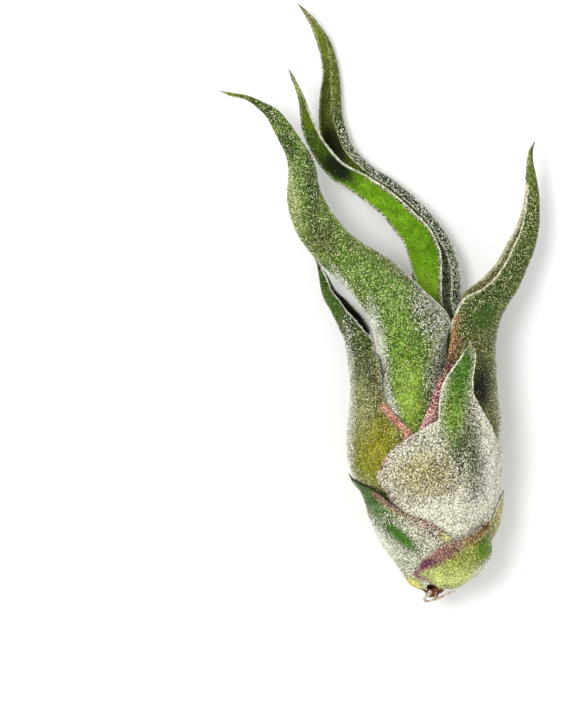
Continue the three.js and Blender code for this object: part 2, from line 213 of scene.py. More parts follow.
def base(starts, ends, low, high, left, right, lift=None):
    """The sections of a leaf base from its lowest row to its highest."""
    count = math.ceil((starts - ends) / BASE_ROW)
    rows = []
    for i in range(count + 1):
        y = starts + (ends - starts) * i / count
        raised = smooth(lift, y) if lift else 0.0
        rows.append(ring(y, smooth(left, y), smooth(right, y), low, high, raised))
    return rows


# ---------------------------------------------------------------- the leaves


def leaf_base_right():
    """The short scale leaf at the front right of the base, outermost of all."""
    return base(
        starts=588, ends=516, low=0, high=0,
        left=[
            [588, 15], [584, 0], [581, -17], [578, -30], [574, -43], [567, -32],
            [560, -24], [553, -9.5], [546, 1.5], [541, 14], [536, 28], [530, 39.4],
            [524, 44.5], [516, 48],
        ],
        right=[
            [588, 100], [584, 118], [580, 127], [574, 128], [567, 120], [560, 110],
            [552, 95], [546, 82], [540, 72], [530, 57.7], [524, 53], [520, 51.5],
            [516, 50.3],
        ],
    )


def leaf_base_left():
    """The scale leaf at the front left, with its point standing off the bulb."""
    return base(
        starts=589, ends=474, low=1, high=1,
        left=[
            [590, -130], [585, -150], [579, -160], [560, -166], [545, -165], [528, -155],
            [510, -140], [500, -127], [490, -113], [484, -106], [479, -100], [476, -96],
            [474, -93.4],
        ],
        right=[
            [590, -40], [585, -22], [579, -8], [573, 2], [560, 13], [549, 17.5],
            [537, 16.3], [531, 8.6], [525, -0.5], [519, -9], [516, -17.7],
            [513, -26.4], [507, -35.4], [500, -44], [492, -53], [484, -69],
            [479, -83], [476, -88.8], [474, -91.2],
        ],
        lift=[[590, 0], [484, 0], [479, 0.5], [474, 2]],
    )


def leaf_base_back():
    """The scale leaf behind the right side, mostly hidden by its neighbours."""
    return base(
        starts=588, ends=491, low=1, high=1,
        left=[
            [588, 70], [579, 60], [566, 52], [549, 50], [535, 54], [520, 62], [508, 72],
            [500, 81], [495, 88], [491, 91.8],
        ],
        right=[
            [588, 160], [579, 176], [566, 180], [549, 174], [535, 163], [520, 147],
            [508, 127], [500, 110], [495, 99], [491, 94.2],
        ],
        lift=[[588, 0], [502, 0], [491, 1]],
    )


def leaf_under():
    """The leaf under the bulb, flat where the plant's weight rests on it."""
    return base(
        starts=597, ends=424, low=0, high=0,
        left=[
            [597, 155], [590, 138], [579, 136], [566, 134], [549, 128], [530, 120],
            [510, 116], [490, 118], [470, 126], [455, 137], [440, 152], [430, 166],
            [424, 178.5],
        ],
        right=[
            [597, 225], [590, 232], [579, 238], [566, 241], [549, 243], [530, 243],
            [510, 242], [490, 240], [470, 235], [455, 226], [440, 211], [430, 196],
            [424, 181.3],
        ],
    )


def leaf_front():
    """The broad silvery front leaf with a short upright blade."""
    return base(
        starts=577, ends=341, low=2, high=0,
        left=[
            [577, -50], [566, -66], [549, -72], [530, -68], [515, -60], [505, -51],
            [497, -45.5], [488, -45], [478, -42.7], [470, -37.4], [460, -31.6], [452, -26.2],
            [445, -20.4], [438, -12.7], [432, -6.1], [424, 2.5], [419, 8.3],
            [410, 8.9], [398, 9.9], [388, 11.7], [378, 15.3], [368, 20.2],
            [358, 26], [348, 30.8], [341, 33.4],
        ],
        right=[
            [577, 80], [566, 95], [549, 108], [530, 116], [510, 119], [490, 117],
            [475, 111], [460, 100], [452, 90], [447, 76], [440, 66.9], [427, 53.9],
            [415, 46], [402, 40.4], [392, 36.8], [380, 36.6], [365, 38], [355, 38.5],
            [348, 37.3], [341, 35.6],
        ],
        lift=[[577, 0], [400, 0], [380, 1.5], [360, 3.5], [341, 6]],
    )


def leaf_left():
    """The left leaf: a channel that opens to the right and runs out to a fine point."""
    rows = base(
        starts=572, ends=384, low=3, high=1,
        left=[
            [572, -150], [560, -165], [540, -172], [500, -175], [440, -175],
            [424, -173], [404, -168], [388, -163], [372, -155], [355, -140],
        ],
        right=[
            [572, -30], [560, -20], [540, -13], [520, -10], [500, -9], [433, -9.4],
            [424, -17], [413, -25.6], [400, -33], [388, -36], [372, -36.4],
            [355, -37],
        ],
    )
    rows += [
        circle(416.5, 371, 19.3, 67.7, -154, -33),
        circle(404.5, 359.5, 18.7, 57, -150, -28),
        circle(385, 349, 17.6, 39, -160, -17.5),
        blade(344, 340, 372, 340, 17.6, -172, -1),
        blade(339.5, 330, 370, 330, 16.8, -208, 8),
        blade(335, 320, 365, 320, 15.8, -216, 3),
        blade(330, 310, 356.5, 310, 14.8, -230, 3),
        blade(324.5, 300, 347, 300, 13.8, -234, 8),
        blade(321, 290, 336, 290, 12.9, -234, 14),
        blade(319.3, 280, 330, 280, 12.2, -232, 22),
        blade(318.3, 272, 325.2, 272, 11.8, -215, 10),
        blade(316.3, 265, 319.8, 265, 11.6, -130, -50),
        blade(312, 257.5, 315, 258.5, 11.6, -120, -60),
    ]
    return rows


def leaf_right():
    """The right leaf, which leans out with its channel turned to the left."""
    rows = base(
        starts=572, ends=370, low=3, high=1,
        left=[
            [572, 0], [560, -3], [433, -5], [420, -2.6], [410, 0.9], [400, 4.2],
            [388, 7.4], [370, 14.5],
        ],
        right=[
            [572, 140], [560, 160], [540, 172], [500, 175], [440, 175], [420, 173],
            [404, 167], [388, 158], [370, 146],
        ],
    )
    rows += [
        circle(432, 355, 19.4, 64, 13, 142),
        circle(440, 345, 19.4, 56, 8.7, 143),
        circle(446.5, 336, 19.4, 50.5, 3.5, 147),
        circle(456, 325, 19.4, 43.3, -8, 154),
        circle(467, 313, 19.4, 36.3, -19.5, 170),
        blade(462, 297, 505, 311, 19.3, -20, 205),
        blade(469, 288, 511, 300, 18.5, -19, 228),
        blade(480, 280, 516, 293, 17.5, -18, 230),
        blade(492, 268, 521, 283, 16.5, -18, 230),
        blade(500, 257, 527, 269, 15.5, -19, 230),
        blade(508, 242, 533.5, 253, 15, -20, 230),
        blade(515, 230, 537, 240, 14.5, -22, 230),
        blade(519.5, 218, 539.5, 226, 14.2, -24, 228),
        blade(523, 205, 540, 209, 14, -26, 225),
        blade(525.3, 190, 539, 191, 14.2, -28, 222),
        blade(526, 175, 536, 174.5, 14.6, -26, 215),
        blade(527.5, 160, 533, 159, 15.3, 10, 190),
        blade(530, 151, 533.2, 151.5, 16, 50, 130),
        blade(534.2, 142.5, 536.8, 143.8, 16.8, 60, 120),
    ]
    return rows


def leaf_long():
    """The long front leaf: it leaves the bulb at the front and bends away to the left."""
    rows = base(
        starts=566, ends=446, low=4, high=2,
        left=[[566, -75], [549, -90], [520, -96], [446, -97]],
        right=[[566, 55], [549, 64], [520, 68], [446, 68]],
    )
    rows += [
        circle(419, 432, 21, 60, -96, 74, 1.5),
        circle(414, 418, 22.8, 51, -96, 82, 1),
        circle(410, 402, 25, 41.5, -97, 92),
        circle(409, 386, 26.3, 36, -98, 98),
        circle(411.5, 370, 27, 33, -98, 98),
        circle(412.2, 355, 27.6, 34.2, -98, 98),
        blade(375.3, 340, 447.5, 337, 28, -97, 97),
        blade(372.5, 329, 450.8, 324, 28, -95, 95),
        blade(368.5, 319, 447.5, 314, 27.5, -93, 93),
        blade(364.5, 312, 436.5, 302, 26.8, -91, 91),
        blade(360, 305, 422, 289, 26, -89, 89),
        blade(354, 297.5, 408, 274.5, 25.2, -88, 88),
        blade(347, 290, 396, 264, 24.6, -87, 87),
        blade(339, 282, 384, 255, 24, -87, 87),
        blade(331, 274.5, 372, 248, 23.5, -87, 87),
        blade(321, 265, 361, 241.5, 23, -87, 87),
        blade(312, 255, 350, 233, 22.6, -87, 87),
        blade(304, 245, 340, 222, 22.3, -87, 87),
        blade(297.5, 235, 331, 210, 22, -87, 87),
        blade(291.5, 220.5, 324.5, 199, 21.8, -87, 87),
        blade(288, 207, 320, 188, 21.6, -87, 87),
        blade(287, 194, 318, 179, 21.4, -87, 87),
        blade(288, 179, 316, 167, 21.2, -87, 87),
        blade(288, 165, 311, 154, 21, -87, 87),
        blade(285, 153, 305, 145, 20.7, -87, 87),
        blade(280, 143, 298, 135, 20.3, -87, 87),
        blade(273, 130, 289, 122, 19.8, -85, 85),
        blade(266.5, 117, 277.5, 109.5, 19.1, -80, 80),
        blade(256, 107, 263, 101.8, 18.2, -75, 75),
        blade(245, 99.5, 248.5, 95.8, 17.2, -50, 50),
        blade(232.5, 96.5, 234, 93.2, 16.3, -35, 35),
        blade(220.5, 93, 221.5, 90, 15.5, -30, 30),
    ]
    return rows


def leaf_middle():
    """The middle leaf, seen on its bright inner face."""
    rows = base(
        starts=556, ends=446, low=5, high=3,
        left=[[556, 135], [540, 125], [500, 116], [446, 113]],
        right=[[556, 262], [540, 270], [500, 274], [446, 268]],
    )
    rows += [
        circle(425, 432, 19.4, 66, 113, 263, 3.3),
        circle(425, 418, 19, 61.5, 113, 258, 3),
        circle(426, 402, 18.4, 56, 113, 256, 2),
        circle(427, 386, 17.8, 49, 112, 255, 1),
        circle(428, 370, 17.3, 42, 112, 254),
        circle(429, 355, 16.9, 35, 112, 253),
        circle(430, 340, 16.6, 28, 111, 252),
        circle(430.5, 325, 16.3, 21.5, 110, 251),
        circle(430, 312, 16.1, 16, 110, 250),
        blade(418, 300, 442.5, 299, 16, 110, 250),
        blade(413.5, 275, 442, 278, 15.5, 110, 250),
        blade(409.5, 260, 441, 253, 15, 110, 250),
        blade(401, 239, 427, 224, 14.8, 110, 250),
        blade(392, 228, 415, 213, 14.6, 110, 250),
        blade(382, 215, 402, 200, 14.4, 110, 250),
        blade(370, 205, 389, 189.5, 14.2, 110, 250),
        blade(358, 196, 375, 180, 14, 110, 250),
        blade(345, 187, 361, 172, 13.8, 110, 250),
        blade(333, 180, 348, 165.5, 13.6, 110, 250),
        blade(322, 168.5, 339, 158.5, 13.5, 110, 250),
        blade(315, 158, 331, 149.5, 13.6, 110, 250),
        blade(308, 145.5, 324, 140.5, 14, 112, 248),
        blade(302, 130, 317.3, 127.5, 14.6, 114, 246),
        blade(300, 115, 311.8, 114.5, 15.6, 118, 242),
        blade(298.8, 102, 306, 101, 16.8, 122, 238),
        blade(296.3, 91, 301, 90, 17.9, 140, 220),
        blade(292.3, 80.5, 295.5, 79.5, 19, 150, 210),
        blade(287.5, 70, 290.5, 69, 20.3, 150, 210),
    ]
    return rows


def leaf_top():
    """The topmost leaf: a channel with its right wall rolled over, low along the surface."""
    rows = base(
        starts=566, ends=446, low=4, high=2,
        left=[[566, 97], [549, 88], [520, 82], [446, 80]],
        right=[[566, 235], [549, 246], [520, 250], [446, 251]],
    )
    rows += [
        circle(424.5, 432, 19.4, 71.5, 80, 251, 2.2),
        circle(425, 418, 19.2, 70, 80, 251, 1.6),
        circle(426, 402, 18.6, 65, 78, 250, 1),
        circle(427, 386, 17.8, 59, 76, 250),
        circle(428, 370, 16.6, 52.5, 72, 250),
        circle(429, 355, 15.2, 46.5, 66, 250),
        circle(430, 340, 13.8, 40.5, 58, 250),
        circle(430.5, 325, 12.5, 34.5, 50, 250),
        circle(431.5, 312, 11.5, 31, 44, 250),
        blade(404, 300, 461, 299, 10.7, 40, 250),
        blade(410, 285, 461, 280, 9.6, 40, 250),
        blade(412.5, 271, 457.5, 257, 8.6, 38, 250),
        blade(410, 257, 448.5, 238, 7.6, 36, 250),
        blade(401.5, 238, 431, 213, 6.6, 34, 250),
        blade(388.5, 220, 413, 196, 5.7, 32, 250),
        blade(377, 206, 393.5, 180, 4.9, 30, 250),
        blade(358.5, 193, 375.5, 169, 4.3, 28, 250),
        blade(342, 177, 362.5, 157.5, 3.9, 26, 250),
        blade(328, 158.5, 352.5, 145, 3.65, 20, 250),
        blade(320.8, 136.5, 346.5, 130, 3.35, 16, 250),
        blade(318.8, 114, 342.3, 112, 2.95, 9, 250),
        blade(319.5, 96, 341.2, 95, 2.75, 5, 250),
        blade(322, 80.5, 340.2, 80, 2.4, 0, 250),
        blade(322, 66, 337.5, 63.5, 2.5, 8, 250),
        blade(320, 53.5, 333.5, 50, 2.9, 17, 248),
        blade(317, 43.5, 328.3, 38, 3.7, 40, 244),
        blade(313, 32, 320.5, 26, 5.1, 75, 235),
        blade(307.7, 20.3, 312.5, 16, 6.6, 110, 230),
        blade(302.3, 11.3, 305, 8.8, 8, 145, 215),
        blade(297, 5, 299.4, 2.9, 9.3, 150, 210),
    ]
    return rows


# ---------------------------------------------------------------- colours of the leaves

OLIVE = "#6a7426"
PINK = "#c19a9e"
DRY_BROWN = "#2e2016"
RIM_COLOUR = "#cfd3b4"
RIM_WIDTH = 0.25  # millimetres
RIM_HEART = 1.2  # keeps a rim solid over the first fifth of its width
RIM_SHARE = 0.5  # how far a rim shows on a leaf that says nothing else
RIM_COVER = 0.8  # the share of scales on it
EDGE_SHEEN_COLOUR = "#dcdec2"  # of the sides of a leaf: denser down, with a painted sheen of that down seen edge-on
EDGE_NORMAL = 0.5  # the sides start where a skin's normal rises less than this
EDGE_SHARE = 0.6  # how far they show on a leaf that says nothing else
EDGE_SHEEN_TINT = 0.75  # how far the sides' painted sheen colour shows, for as much as their scales do
INNER_COVER = 0.3  # the share of scales inside a leaf that says nothing else
PATCH_HEART, PATCH_FALL = 1.35, 1.2  # a patch is solid to 0.3 of its size, gone at 1.1
BAND_END = 7.0  # plan rows over which a band fades out past its ends

# What each leaf wears. `outer` and `inner` colour its two skins, and `cover` and
# `inner_cover` are the shares of scales on them. A tint is (plan x, plan y, half width,
# half height, turn in degrees, colour, strength), and a cover in a list is the same with
# the share of scales in place of the colour. A band follows a margin: (margin, plan y
# from, to, width mm, colour, strength), and a rim in a list is the same with the share of
# scales in place of the last two. The "start" margin is where a section's angles start,
# and "end" is the other one. `edge` is how far the denser down of the sides and its pale
# painted sheen show, and `rim` how far the thin pale line along both margins does.
LEAF_LOOKS = {
    "leaf_base_right": dict(
        outer="#8f9a46", inner=OLIVE, cover=0.55,
        outer_tints=[
            (450, 576, 44, 18, 0, "#d2dc84", 0.95),
            (458, 560, 30, 16, 20, "#a8b048", 0.6),
            (450, 551, 32, 10, 32, "#ac8e68", 0.8),
            (476, 534, 18, 12, 35, "#9c8440", 0.9),
            (484, 549, 10, 16, -15, "#587a0c", 1.0),
            (490, 532, 6, 16, -10, "#5d7a24", 0.8),
            (482, 571, 8, 26, -42, "#dcdcc0", 0.9),
        ],
        inner_tints=[(434, 586, 18, 10, 0, "#a8744a", 1.0)],
        outer_covers=[
            (484, 550, 8, 12, -15, 0.05, 1.0),
            (446, 576, 34, 14, 0, 0.4, 0.8),
            (482, 571, 8, 26, -42, 1.0, 0.95),
        ],
        bands=[
            ("start", 578, 566, 3.4, "#a0607c", 0.9),
            ("start", 566, 550, 7.2, "#6e3054", 0.95),
            ("start", 556, 532, 6.2, "#a07464", 0.85),
            ("start", 536, 516, 4.5, "#84602c", 0.85),
            ("start", 578, 516, 0.3, "#d8b8bc", 0.5),
        ],
        rims=[("start", 574, 556, 6.0, 0.4)],
    ),
    "leaf_base_left": dict(
        outer="#c6c8a6", inner=OLIVE, cover=0.9, edge=0.15,
        outer_tints=[
            (368, 494, 17, 30, 34, "#35601a", 1.0),
            (386, 520, 16, 24, 35, "#48782a", 0.85),
            (428, 530, 28, 9, -30, "#c4ae94", 0.7),
            (446, 537, 12, 6, -30, "#dcd08a", 0.9),
            (402, 538, 27, 8, -42, "#34640e", 1.0),
            (378, 540, 12, 30, 35, "#eceedc", 0.7),
            (412, 584, 15, 8, -20, "#dad06a", 0.9),
            (350, 477, 9, 7, 0, DRY_BROWN, 1.0),
        ],
        inner_tints=[(430, 586, 20, 10, 0, "#a8744a", 1.0)],
        outer_covers=[
            (368, 494, 17, 30, 34, 0.22, 1.0),
            (400, 511, 26, 10, -28, 0.55, 0.9),
            (402, 538, 25, 7, -42, 0.08, 1.0),
            (446, 537, 12, 6, -30, 0.35, 0.9),
            (412, 584, 15, 8, -20, 0.12, 1.0),
            (350, 476, 10, 8, 0, 0.02, 1.0),
        ],
        bands=[
            ("end", 528, 496, 4.6, "#94685c", 0.8),
            ("end", 532, 502, 1.0, "#7c4a50", 0.8),
            ("end", 503, 470, 0.9, "#2a1d18", 0.9),
        ],
        rims=[("end", 506, 476, 0.9, 0.1)],
    ),
    "leaf_base_back": dict(
        outer="#aca868", inner=OLIVE, cover=0.6, edge=0.5,
        outer_tints=[(503, 520, 9, 24, 0, "#bcb67c", 0.8)],
        bands=[("start", 545, 495, 0.5, "#e0dcbc", 0.8)],
    ),
    "leaf_under": dict(
        outer="#a4a678", inner=OLIVE, cover=0.7,
        outer_tints=[(440, 585, 50, 20, 0, "#c0c858", 0.5)],
        inner_tints=[(434, 586, 26, 16, 0, "#c48a58", 1.0)],
        bands=[("start", 600, 424, 0.8, PINK, 0.5), ("end", 600, 424, 0.8, PINK, 0.5)],
    ),
    "leaf_front": dict(
        outer="#cfc9ae", inner="#7d8a48", cover=0.92,
        outer_tints=[
            (425, 474, 44, 34, 0, "#b4ac62", 0.85),
            (440, 478, 16, 24, 20, "#8f7f3c", 0.6),
            (488, 475, 22, 70, 0, "#dad7c6", 0.85),
            (450, 518, 62, 26, 0, "#dedac2", 0.85),
            (462, 450, 18, 34, 0, "#4c6028", 0.9),
            (476, 474, 12, 34, 0, "#33461f", 0.6),
            (455, 408, 19, 46, -10, "#72982c", 1.0),
            (462, 370, 17, 40, -12, "#467818", 1.0),
            (472, 432, 10, 46, 4, "#2c4418", 0.65),
            (467, 342, 8, 7, 0, "#b47e36", 1.0),
            (467, 343.5, 2.8, 2.6, 0, DRY_BROWN, 1.0),
        ],
        outer_covers=[
            (460, 375, 18, 44, -12, 0.45, 1.0),
            (457, 425, 20, 40, -6, 0.5, 0.9),
            (474, 460, 10, 44, 0, 0.65, 0.9),
            (425, 474, 34, 30, 0, 0.8, 0.8),
            (467, 343, 7, 7, 0, 0.0, 1.0),
        ],
        bands=[
            ("start", 500, 440, 2.4, "#b48a70", 0.75),
            ("start", 436, 356, 0.35, "#eef0dc", 0.95),
            ("end", 430, 356, 0.35, "#eef0dc", 0.95),
        ],
        rims=[("start", 436, 356, 0.4, 0.7), ("end", 430, 356, 0.4, 0.7)],
    ),
    "leaf_left": dict(
        # the inner skin is painted near black, with few scales: painted shade inside the
        # channel
        outer="#5c6a2c", inner="#15140c", cover=0.6, inner_cover=0.06,
        outer_tints=[
            (376, 448, 34, 46, 0, "#8e8a1c", 1.0),
            (366, 474, 22, 28, 0, "#90921e", 0.8),
            (362, 405, 18, 44, 0, "#94945a", 0.8),
            (357, 342, 14, 50, 18, "#465e26", 1.0),
            (370, 372, 12, 28, 10, "#545c2c", 0.85),
            (330, 294, 12, 44, 18, "#40601a", 1.0),
            (348, 430, 8, 110, 0, "#c8ca9e", 0.8),
            (318, 266, 6, 9, 0, "#3c3a18", 0.8),
        ],
        outer_covers=[
            (330, 292, 12, 40, 18, 0.3, 1.0),
            (376, 450, 26, 40, 0, 0.4, 0.9),
            (348, 400, 9, 130, 0, 1.0, 0.9),
        ],
        bands=[
            ("end", 440, 408, 3.4, "#e49688", 0.85),
            ("end", 410, 372, 1.8, "#8c6444", 0.5),
            ("end", 340, 270, 0.4, "#eceed8", 0.9),
        ],
        rims=[("end", 440, 398, 2.6, 0.6), ("end", 345, 270, 0.5, 0.8)],
    ),
    "leaf_right": dict(
        outer="#566628", inner="#a09c68", cover=0.6, inner_cover=0.6, edge=0.5, rim=0.3,
        outer_tints=[
            (484, 310, 18, 46, -32, "#3f5a20", 0.95),
            (474, 352, 22, 26, 0, "#5c5628", 0.7),
            # painted shade: a near-black patch in the hollow between the front leaf's blade
            # and this leaf
            (481, 388, 14, 32, -4, "#150f06", 1.0),
            (497, 415, 14, 44, 0, "#69653a", 0.7),
            (424, 428, 16, 12, 0, "#dcc4c0", 0.9),
            (503, 390, 6, 80, 0, "#d0ceae", 0.8),
            (520, 250, 14, 60, -25, "#4f6428", 0.7),
            (531, 175, 9, 26, 0, "#66762c", 0.85),
            (536, 145, 6, 12, -20, "#3a2418", 1.0),
        ],
        inner_tints=[
            (494, 268, 8, 46, -40, "#96945c", 0.9),
            (522, 215, 6, 36, -12, "#8c8e52", 0.8),
        ],
        outer_covers=[
            (484, 318, 12, 17, -30, 0.12, 1.0),
            # few scales on that painted shade
            (481, 388, 14, 32, -4, 0.16, 0.95),
            (440, 380, 12, 50, -18, 0.5, 0.9),
            (424, 430, 14, 8, 0, 0.7, 0.9),
            (503, 390, 7, 80, 0, 0.95, 0.8),
            (531, 170, 8, 22, 0, 0.4, 0.9),
            (536, 145, 6, 10, -20, 0.0, 1.0),
        ],
        bands=[
            ("start", 440, 394, 4.0, "#dc9098", 0.9),
            ("start", 398, 368, 3.4, "#b86268", 0.9),
            ("start", 374, 340, 3.4, "#764236", 0.9),
            ("start", 346, 318, 2.6, "#ae7c44", 0.8),
            ("start", 325, 188, 0.45, "#eee9c4", 0.95),
            ("end", 300, 185, 1.1, "#f0eac8", 0.95),
        ],
        rims=[("start", 440, 372, 3.0, 0.75), ("start", 325, 188, 0.5, 0.9)],
    ),
    "leaf_long": dict(
        outer="#66862c", inner="#6a9430", cover=0.62, edge=0.85,
        outer_tints=[
            (402, 345, 28, 66, 4, "#6c9428", 0.9),
            (409, 398, 22, 50, 0, "#90ae3c", 1.0),
            (390, 290, 46, 24, -40, "#6c9432", 0.8),
            (434, 316, 24, 44, 30, "#747c50", 0.85),
            (438, 362, 14, 52, -14, "#989e68", 0.9),
            (351, 298, 7, 46, 30, "#d0d4b4", 0.85),
            (377, 350, 12, 60, 9, "#d6d9c0", 0.9),
            (390, 410, 10, 38, 20, "#dee0cc", 0.9),
            (402, 268, 52, 12, -42, "#64703c", 0.85),
            (322, 236, 16, 26, 30, "#544e26", 0.6),
            # painted shade and light: the blade's right half darker and its left strip
            # paler, as if lit from the left
            (312, 180, 10, 60, 4, "#3f5226", 0.85),
            (292, 195, 10, 54, 8, "#b8c47a", 0.85),
            (285, 148, 16, 22, 30, "#34501f", 0.8),
            (262, 112, 26, 12, -40, "#465a22", 0.9),
            (238, 97, 20, 8, -10, "#6c6a24", 0.9),
            (221, 92, 5, 4, 0, "#1d1a10", 1.0),
        ],
        outer_covers=[
            (408, 398, 18, 46, 0, 0.42, 1.0),
            (400, 340, 22, 50, 4, 0.55, 0.9),
            (434, 316, 26, 46, 30, 1.0, 0.95),
            (438, 362, 12, 52, -14, 1.0, 0.95),
            (408, 266, 44, 11, -42, 0.95, 0.95),
            (351, 298, 7, 46, 30, 1.0, 0.9),
            (379, 352, 12, 64, 9, 1.0, 1.0),
            (392, 412, 10, 38, 20, 1.0, 1.0),
            (285, 148, 16, 22, 30, 0.5, 0.8),
            (236, 95, 20, 10, -10, 0.3, 1.0),
        ],
    ),
    "leaf_middle": dict(
        outer="#557e2c", inner="#6a9812", cover=0.6, inner_cover=0.06, edge=0.4, rim=0.3,
        inner_tints=[
            (318, 145, 26, 44, 35, "#465c10", 0.95),
            (338, 168, 30, 17, -40, "#141f07", 1.0),
            (304, 112, 12, 28, 12, "#5c6c16", 0.95),
            (292, 80, 10, 20, 20, "#7c8024", 1.0),
            (424, 285, 20, 20, 0, "#86a828", 0.7),
            (432, 240, 10, 50, 0, "#568808", 0.5),
        ],
        inner_covers=[(308, 120, 24, 44, 25, 0.25, 0.8)],
        bands=[
            ("start", 300, 185, 1.2, "#8e9a5c", 0.8),
            ("start", 300, 110, 0.3, "#e6e8d0", 0.8),
            ("end", 310, 185, 0.4, "#c8cba0", 0.7),
        ],
        rims=[("start", 300, 180, 1.2, 0.85), ("end", 310, 120, 0.5, 0.7)],
    ),
    "leaf_top": dict(
        outer="#30501f", inner="#5e6e20", cover=0.85, inner_cover=0.2, edge=0.7, rim=0.3,
        outer_tints=[
            (338, 80, 16, 60, 10, "#5d6c24", 1.0),
            (350, 155, 14, 30, 35, "#6a7048", 0.6),
            (459, 260, 6, 60, 10, "#c8caa4", 0.8),
        ],
        inner_tints=[
            (322, 50, 16, 44, 20, "#75862a", 0.9),
            (306, 18, 10, 18, 30, "#8a8430", 0.9),
            (299, 5, 4, 5, 0, "#4c4630", 0.9),
            # painted shade: the dark inside of the channel
            (334, 143, 15, 28, 20, "#262a12", 1.0),
            (326, 100, 8, 34, 0, "#4b5618", 0.8),
            (445, 280, 16, 50, 10, "#8a9a6a", 0.9),
        ],
        inner_covers=[
            (445, 280, 16, 50, 10, 0.9, 0.95),
            # no scales on that painted shade inside the channel
            (334, 145, 16, 30, 20, 0.0, 1.0),
        ],
        outer_covers=[(338, 80, 16, 56, 10, 0.35, 1.0)],
        bands=[
            ("start", 330, 150, 0.4, "#c8cca8", 0.8),
            ("start", 150, 40, 0.5, "#8c9448", 0.6),
            ("end", 200, 20, 0.3, "#b8bd94", 0.5),
        ],
        rims=[("start", 330, 150, 0.5, 0.85), ("start", 150, 30, 0.5, 0.4)],
    ),
}

LEAF_MAKERS = (
    leaf_base_right, leaf_base_left, leaf_base_back, leaf_under, leaf_front,
    leaf_left, leaf_right, leaf_long, leaf_middle, leaf_top,
)
LEAVES = {make.__name__: make for make in LEAF_MAKERS}
SCALE_LEAVES = ("leaf_base_right", "leaf_base_left", "leaf_base_back", "leaf_under")
CUP_LEAVES = ("leaf_front", "leaf_left", "leaf_right")
TALL_LEAVES = ("leaf_long", "leaf_middle", "leaf_top")


def linear(code):
    """A colour code such as #a0b0c0 as linear red, green and blue."""
    parts = [int(code[i : i + 2], 16) / 255 for i in (1, 3, 5)]
    return tuple(
        c / 12.92 if c <= 0.04045 else ((c + 0.055) / 1.055) ** 2.4 for c in parts
    )


def eased(t):
    """From 0 to 1, with level ends."""
    t = np.clip(t, 0.0, 1.0)
    return t * t * (3 - 2 * t)


def towards(value, goal, share):
    """A value carried a share of the way to a goal."""
    return value + (goal - value) * share


def patch_weight(px, py, x, y, half_width, half_height, turn):
    """How much a soft oval patch holds at each plan point."""
    a = math.radians(turn)
    across = (px - x) * math.cos(a) - (py - y) * math.sin(a)
    along = (px - x) * math.sin(a) + (py - y) * math.cos(a)
    away = np.hypot(across / half_width, along / half_height)
    return eased(PATCH_HEART - PATCH_FALL * away)


def margin_weight(away, width):
    """1 over the first third of a band's width, and 0 from its far side on."""
    return eased(1.5 - 1.5 * away / width)


def between(value, low, high):
    """1 between two plan rows, fading out past them."""
    return eased((value - low) / BAND_END + 1) * eased((high - value) / BAND_END + 1)


# ---------------------------------------------------------------- leaf meshes

SWELL_POWER = 0.6  # how fast a wall thickens in from its margins
SLOW_WAVE, QUICK_WAVE = 5.0, 1.7  # millimetres between a skin's swells and ripples
QUICK_SHARE = 0.35  # how high the ripples are, to the swells
QUICK_SEED = 20  # keeps the ripples unlike the swells
SEED_STEPS = (7.1, 3.3, 1.7)  # how far off in the noise each seed starts
ARC_DEGREES = (45, 90, 135)  # where the three points round a margin stand
# How large the end rows of a leaf are, and how many millimetres out they stand.
BASE_ENDS = ((0.2, 0.2), (0.7, 0.12))
TIP_ENDS = ((0.72, 0.14), (0.38, 0.26), (0.08, 0.34))
TINY = 1e-9  # keeps a length from being nothing
MAP_ROWS = (0.01, 0.99)  # where a leaf's first and last rows lie on its own map


def wall(s, across, margin):
    """The outer and inner points of a section, in millimetres."""
    share = np.linspace(0, 1, across + 1)
    angle = np.radians(s.start + (s.end - s.start) * share)
    swell = np.clip(np.sin(np.pi * share), 0, 1) ** SWELL_POWER
    thickness = np.minimum(margin + (s.thick - margin) * swell, s.radius * THICKEST_SHARE)
    outer = s.radius - s.hug * (np.maximum(s.thick - thickness, 0) + CLOSER * (1 - swell))
    skins = []
    for i, r in enumerate((outer, outer - thickness)):
        level = r * np.sin(angle)
        height = np.maximum(s.z + r * np.cos(angle), s.floor + i * thickness)
        x = s.x + level * s.run[0]
        y = s.y + level * s.run[1]
        skins.append(np.stack([x, y, height], axis=-1))
    return skins


def refine(rows, step):
    """Rows of points with smooth rows put between them, at most `step` apart."""
    gaps = np.linalg.norm(np.diff(rows, axis=0), axis=-1).max(axis=1)
    gaps = np.maximum(gaps, 1e-6)
    slopes = np.diff(rows, axis=0) / gaps[:, None, None]
    tangents = np.empty_like(rows)
    tangents[0], tangents[-1] = slopes[0], slopes[-1]
    before, after = gaps[:-1, None, None], gaps[1:, None, None]
    tangents[1:-1] = (slopes[1:] * before + slopes[:-1] * after) / (before + after)
    out = [rows[0]]
    for i, gap in enumerate(gaps):
        count = max(1, math.ceil(gap / step))
        for k in range(1, count + 1):
            t = k / count
            a, b = rows[i], rows[i + 1]
            m, n = tangents[i] * gap, tangents[i + 1] * gap
            out.append(
                (2 * t**3 - 3 * t**2 + 1) * a + (t**3 - 2 * t**2 + t) * m
                + (3 * t**2 - 2 * t**3) * b + (t**3 - t**2) * n
            )
    return np.array(out)


def tip_distance(rows):
    """How far each row's middle is from the last row's, along the leaf."""
    steps = np.linalg.norm(np.diff(rows.mean(axis=1), axis=0), axis=-1)
    return np.concatenate([np.cumsum(steps[::-1])[::-1], [0.0]])


def tapered(rows):
    """The rows drawn in about their middles towards the tip, so that it ends sharp."""
    middle = rows.mean(axis=1, keepdims=True)
    share = TIP_SHARE + (1 - TIP_SHARE) * eased(tip_distance(rows) / TIP_TAPER)
    return middle + (rows - middle) * share[:, None, None]


def unit(ways):
    """Many directions, each at length 1."""
    return ways / np.maximum(np.linalg.norm(ways, axis=-1, keepdims=True), TINY)


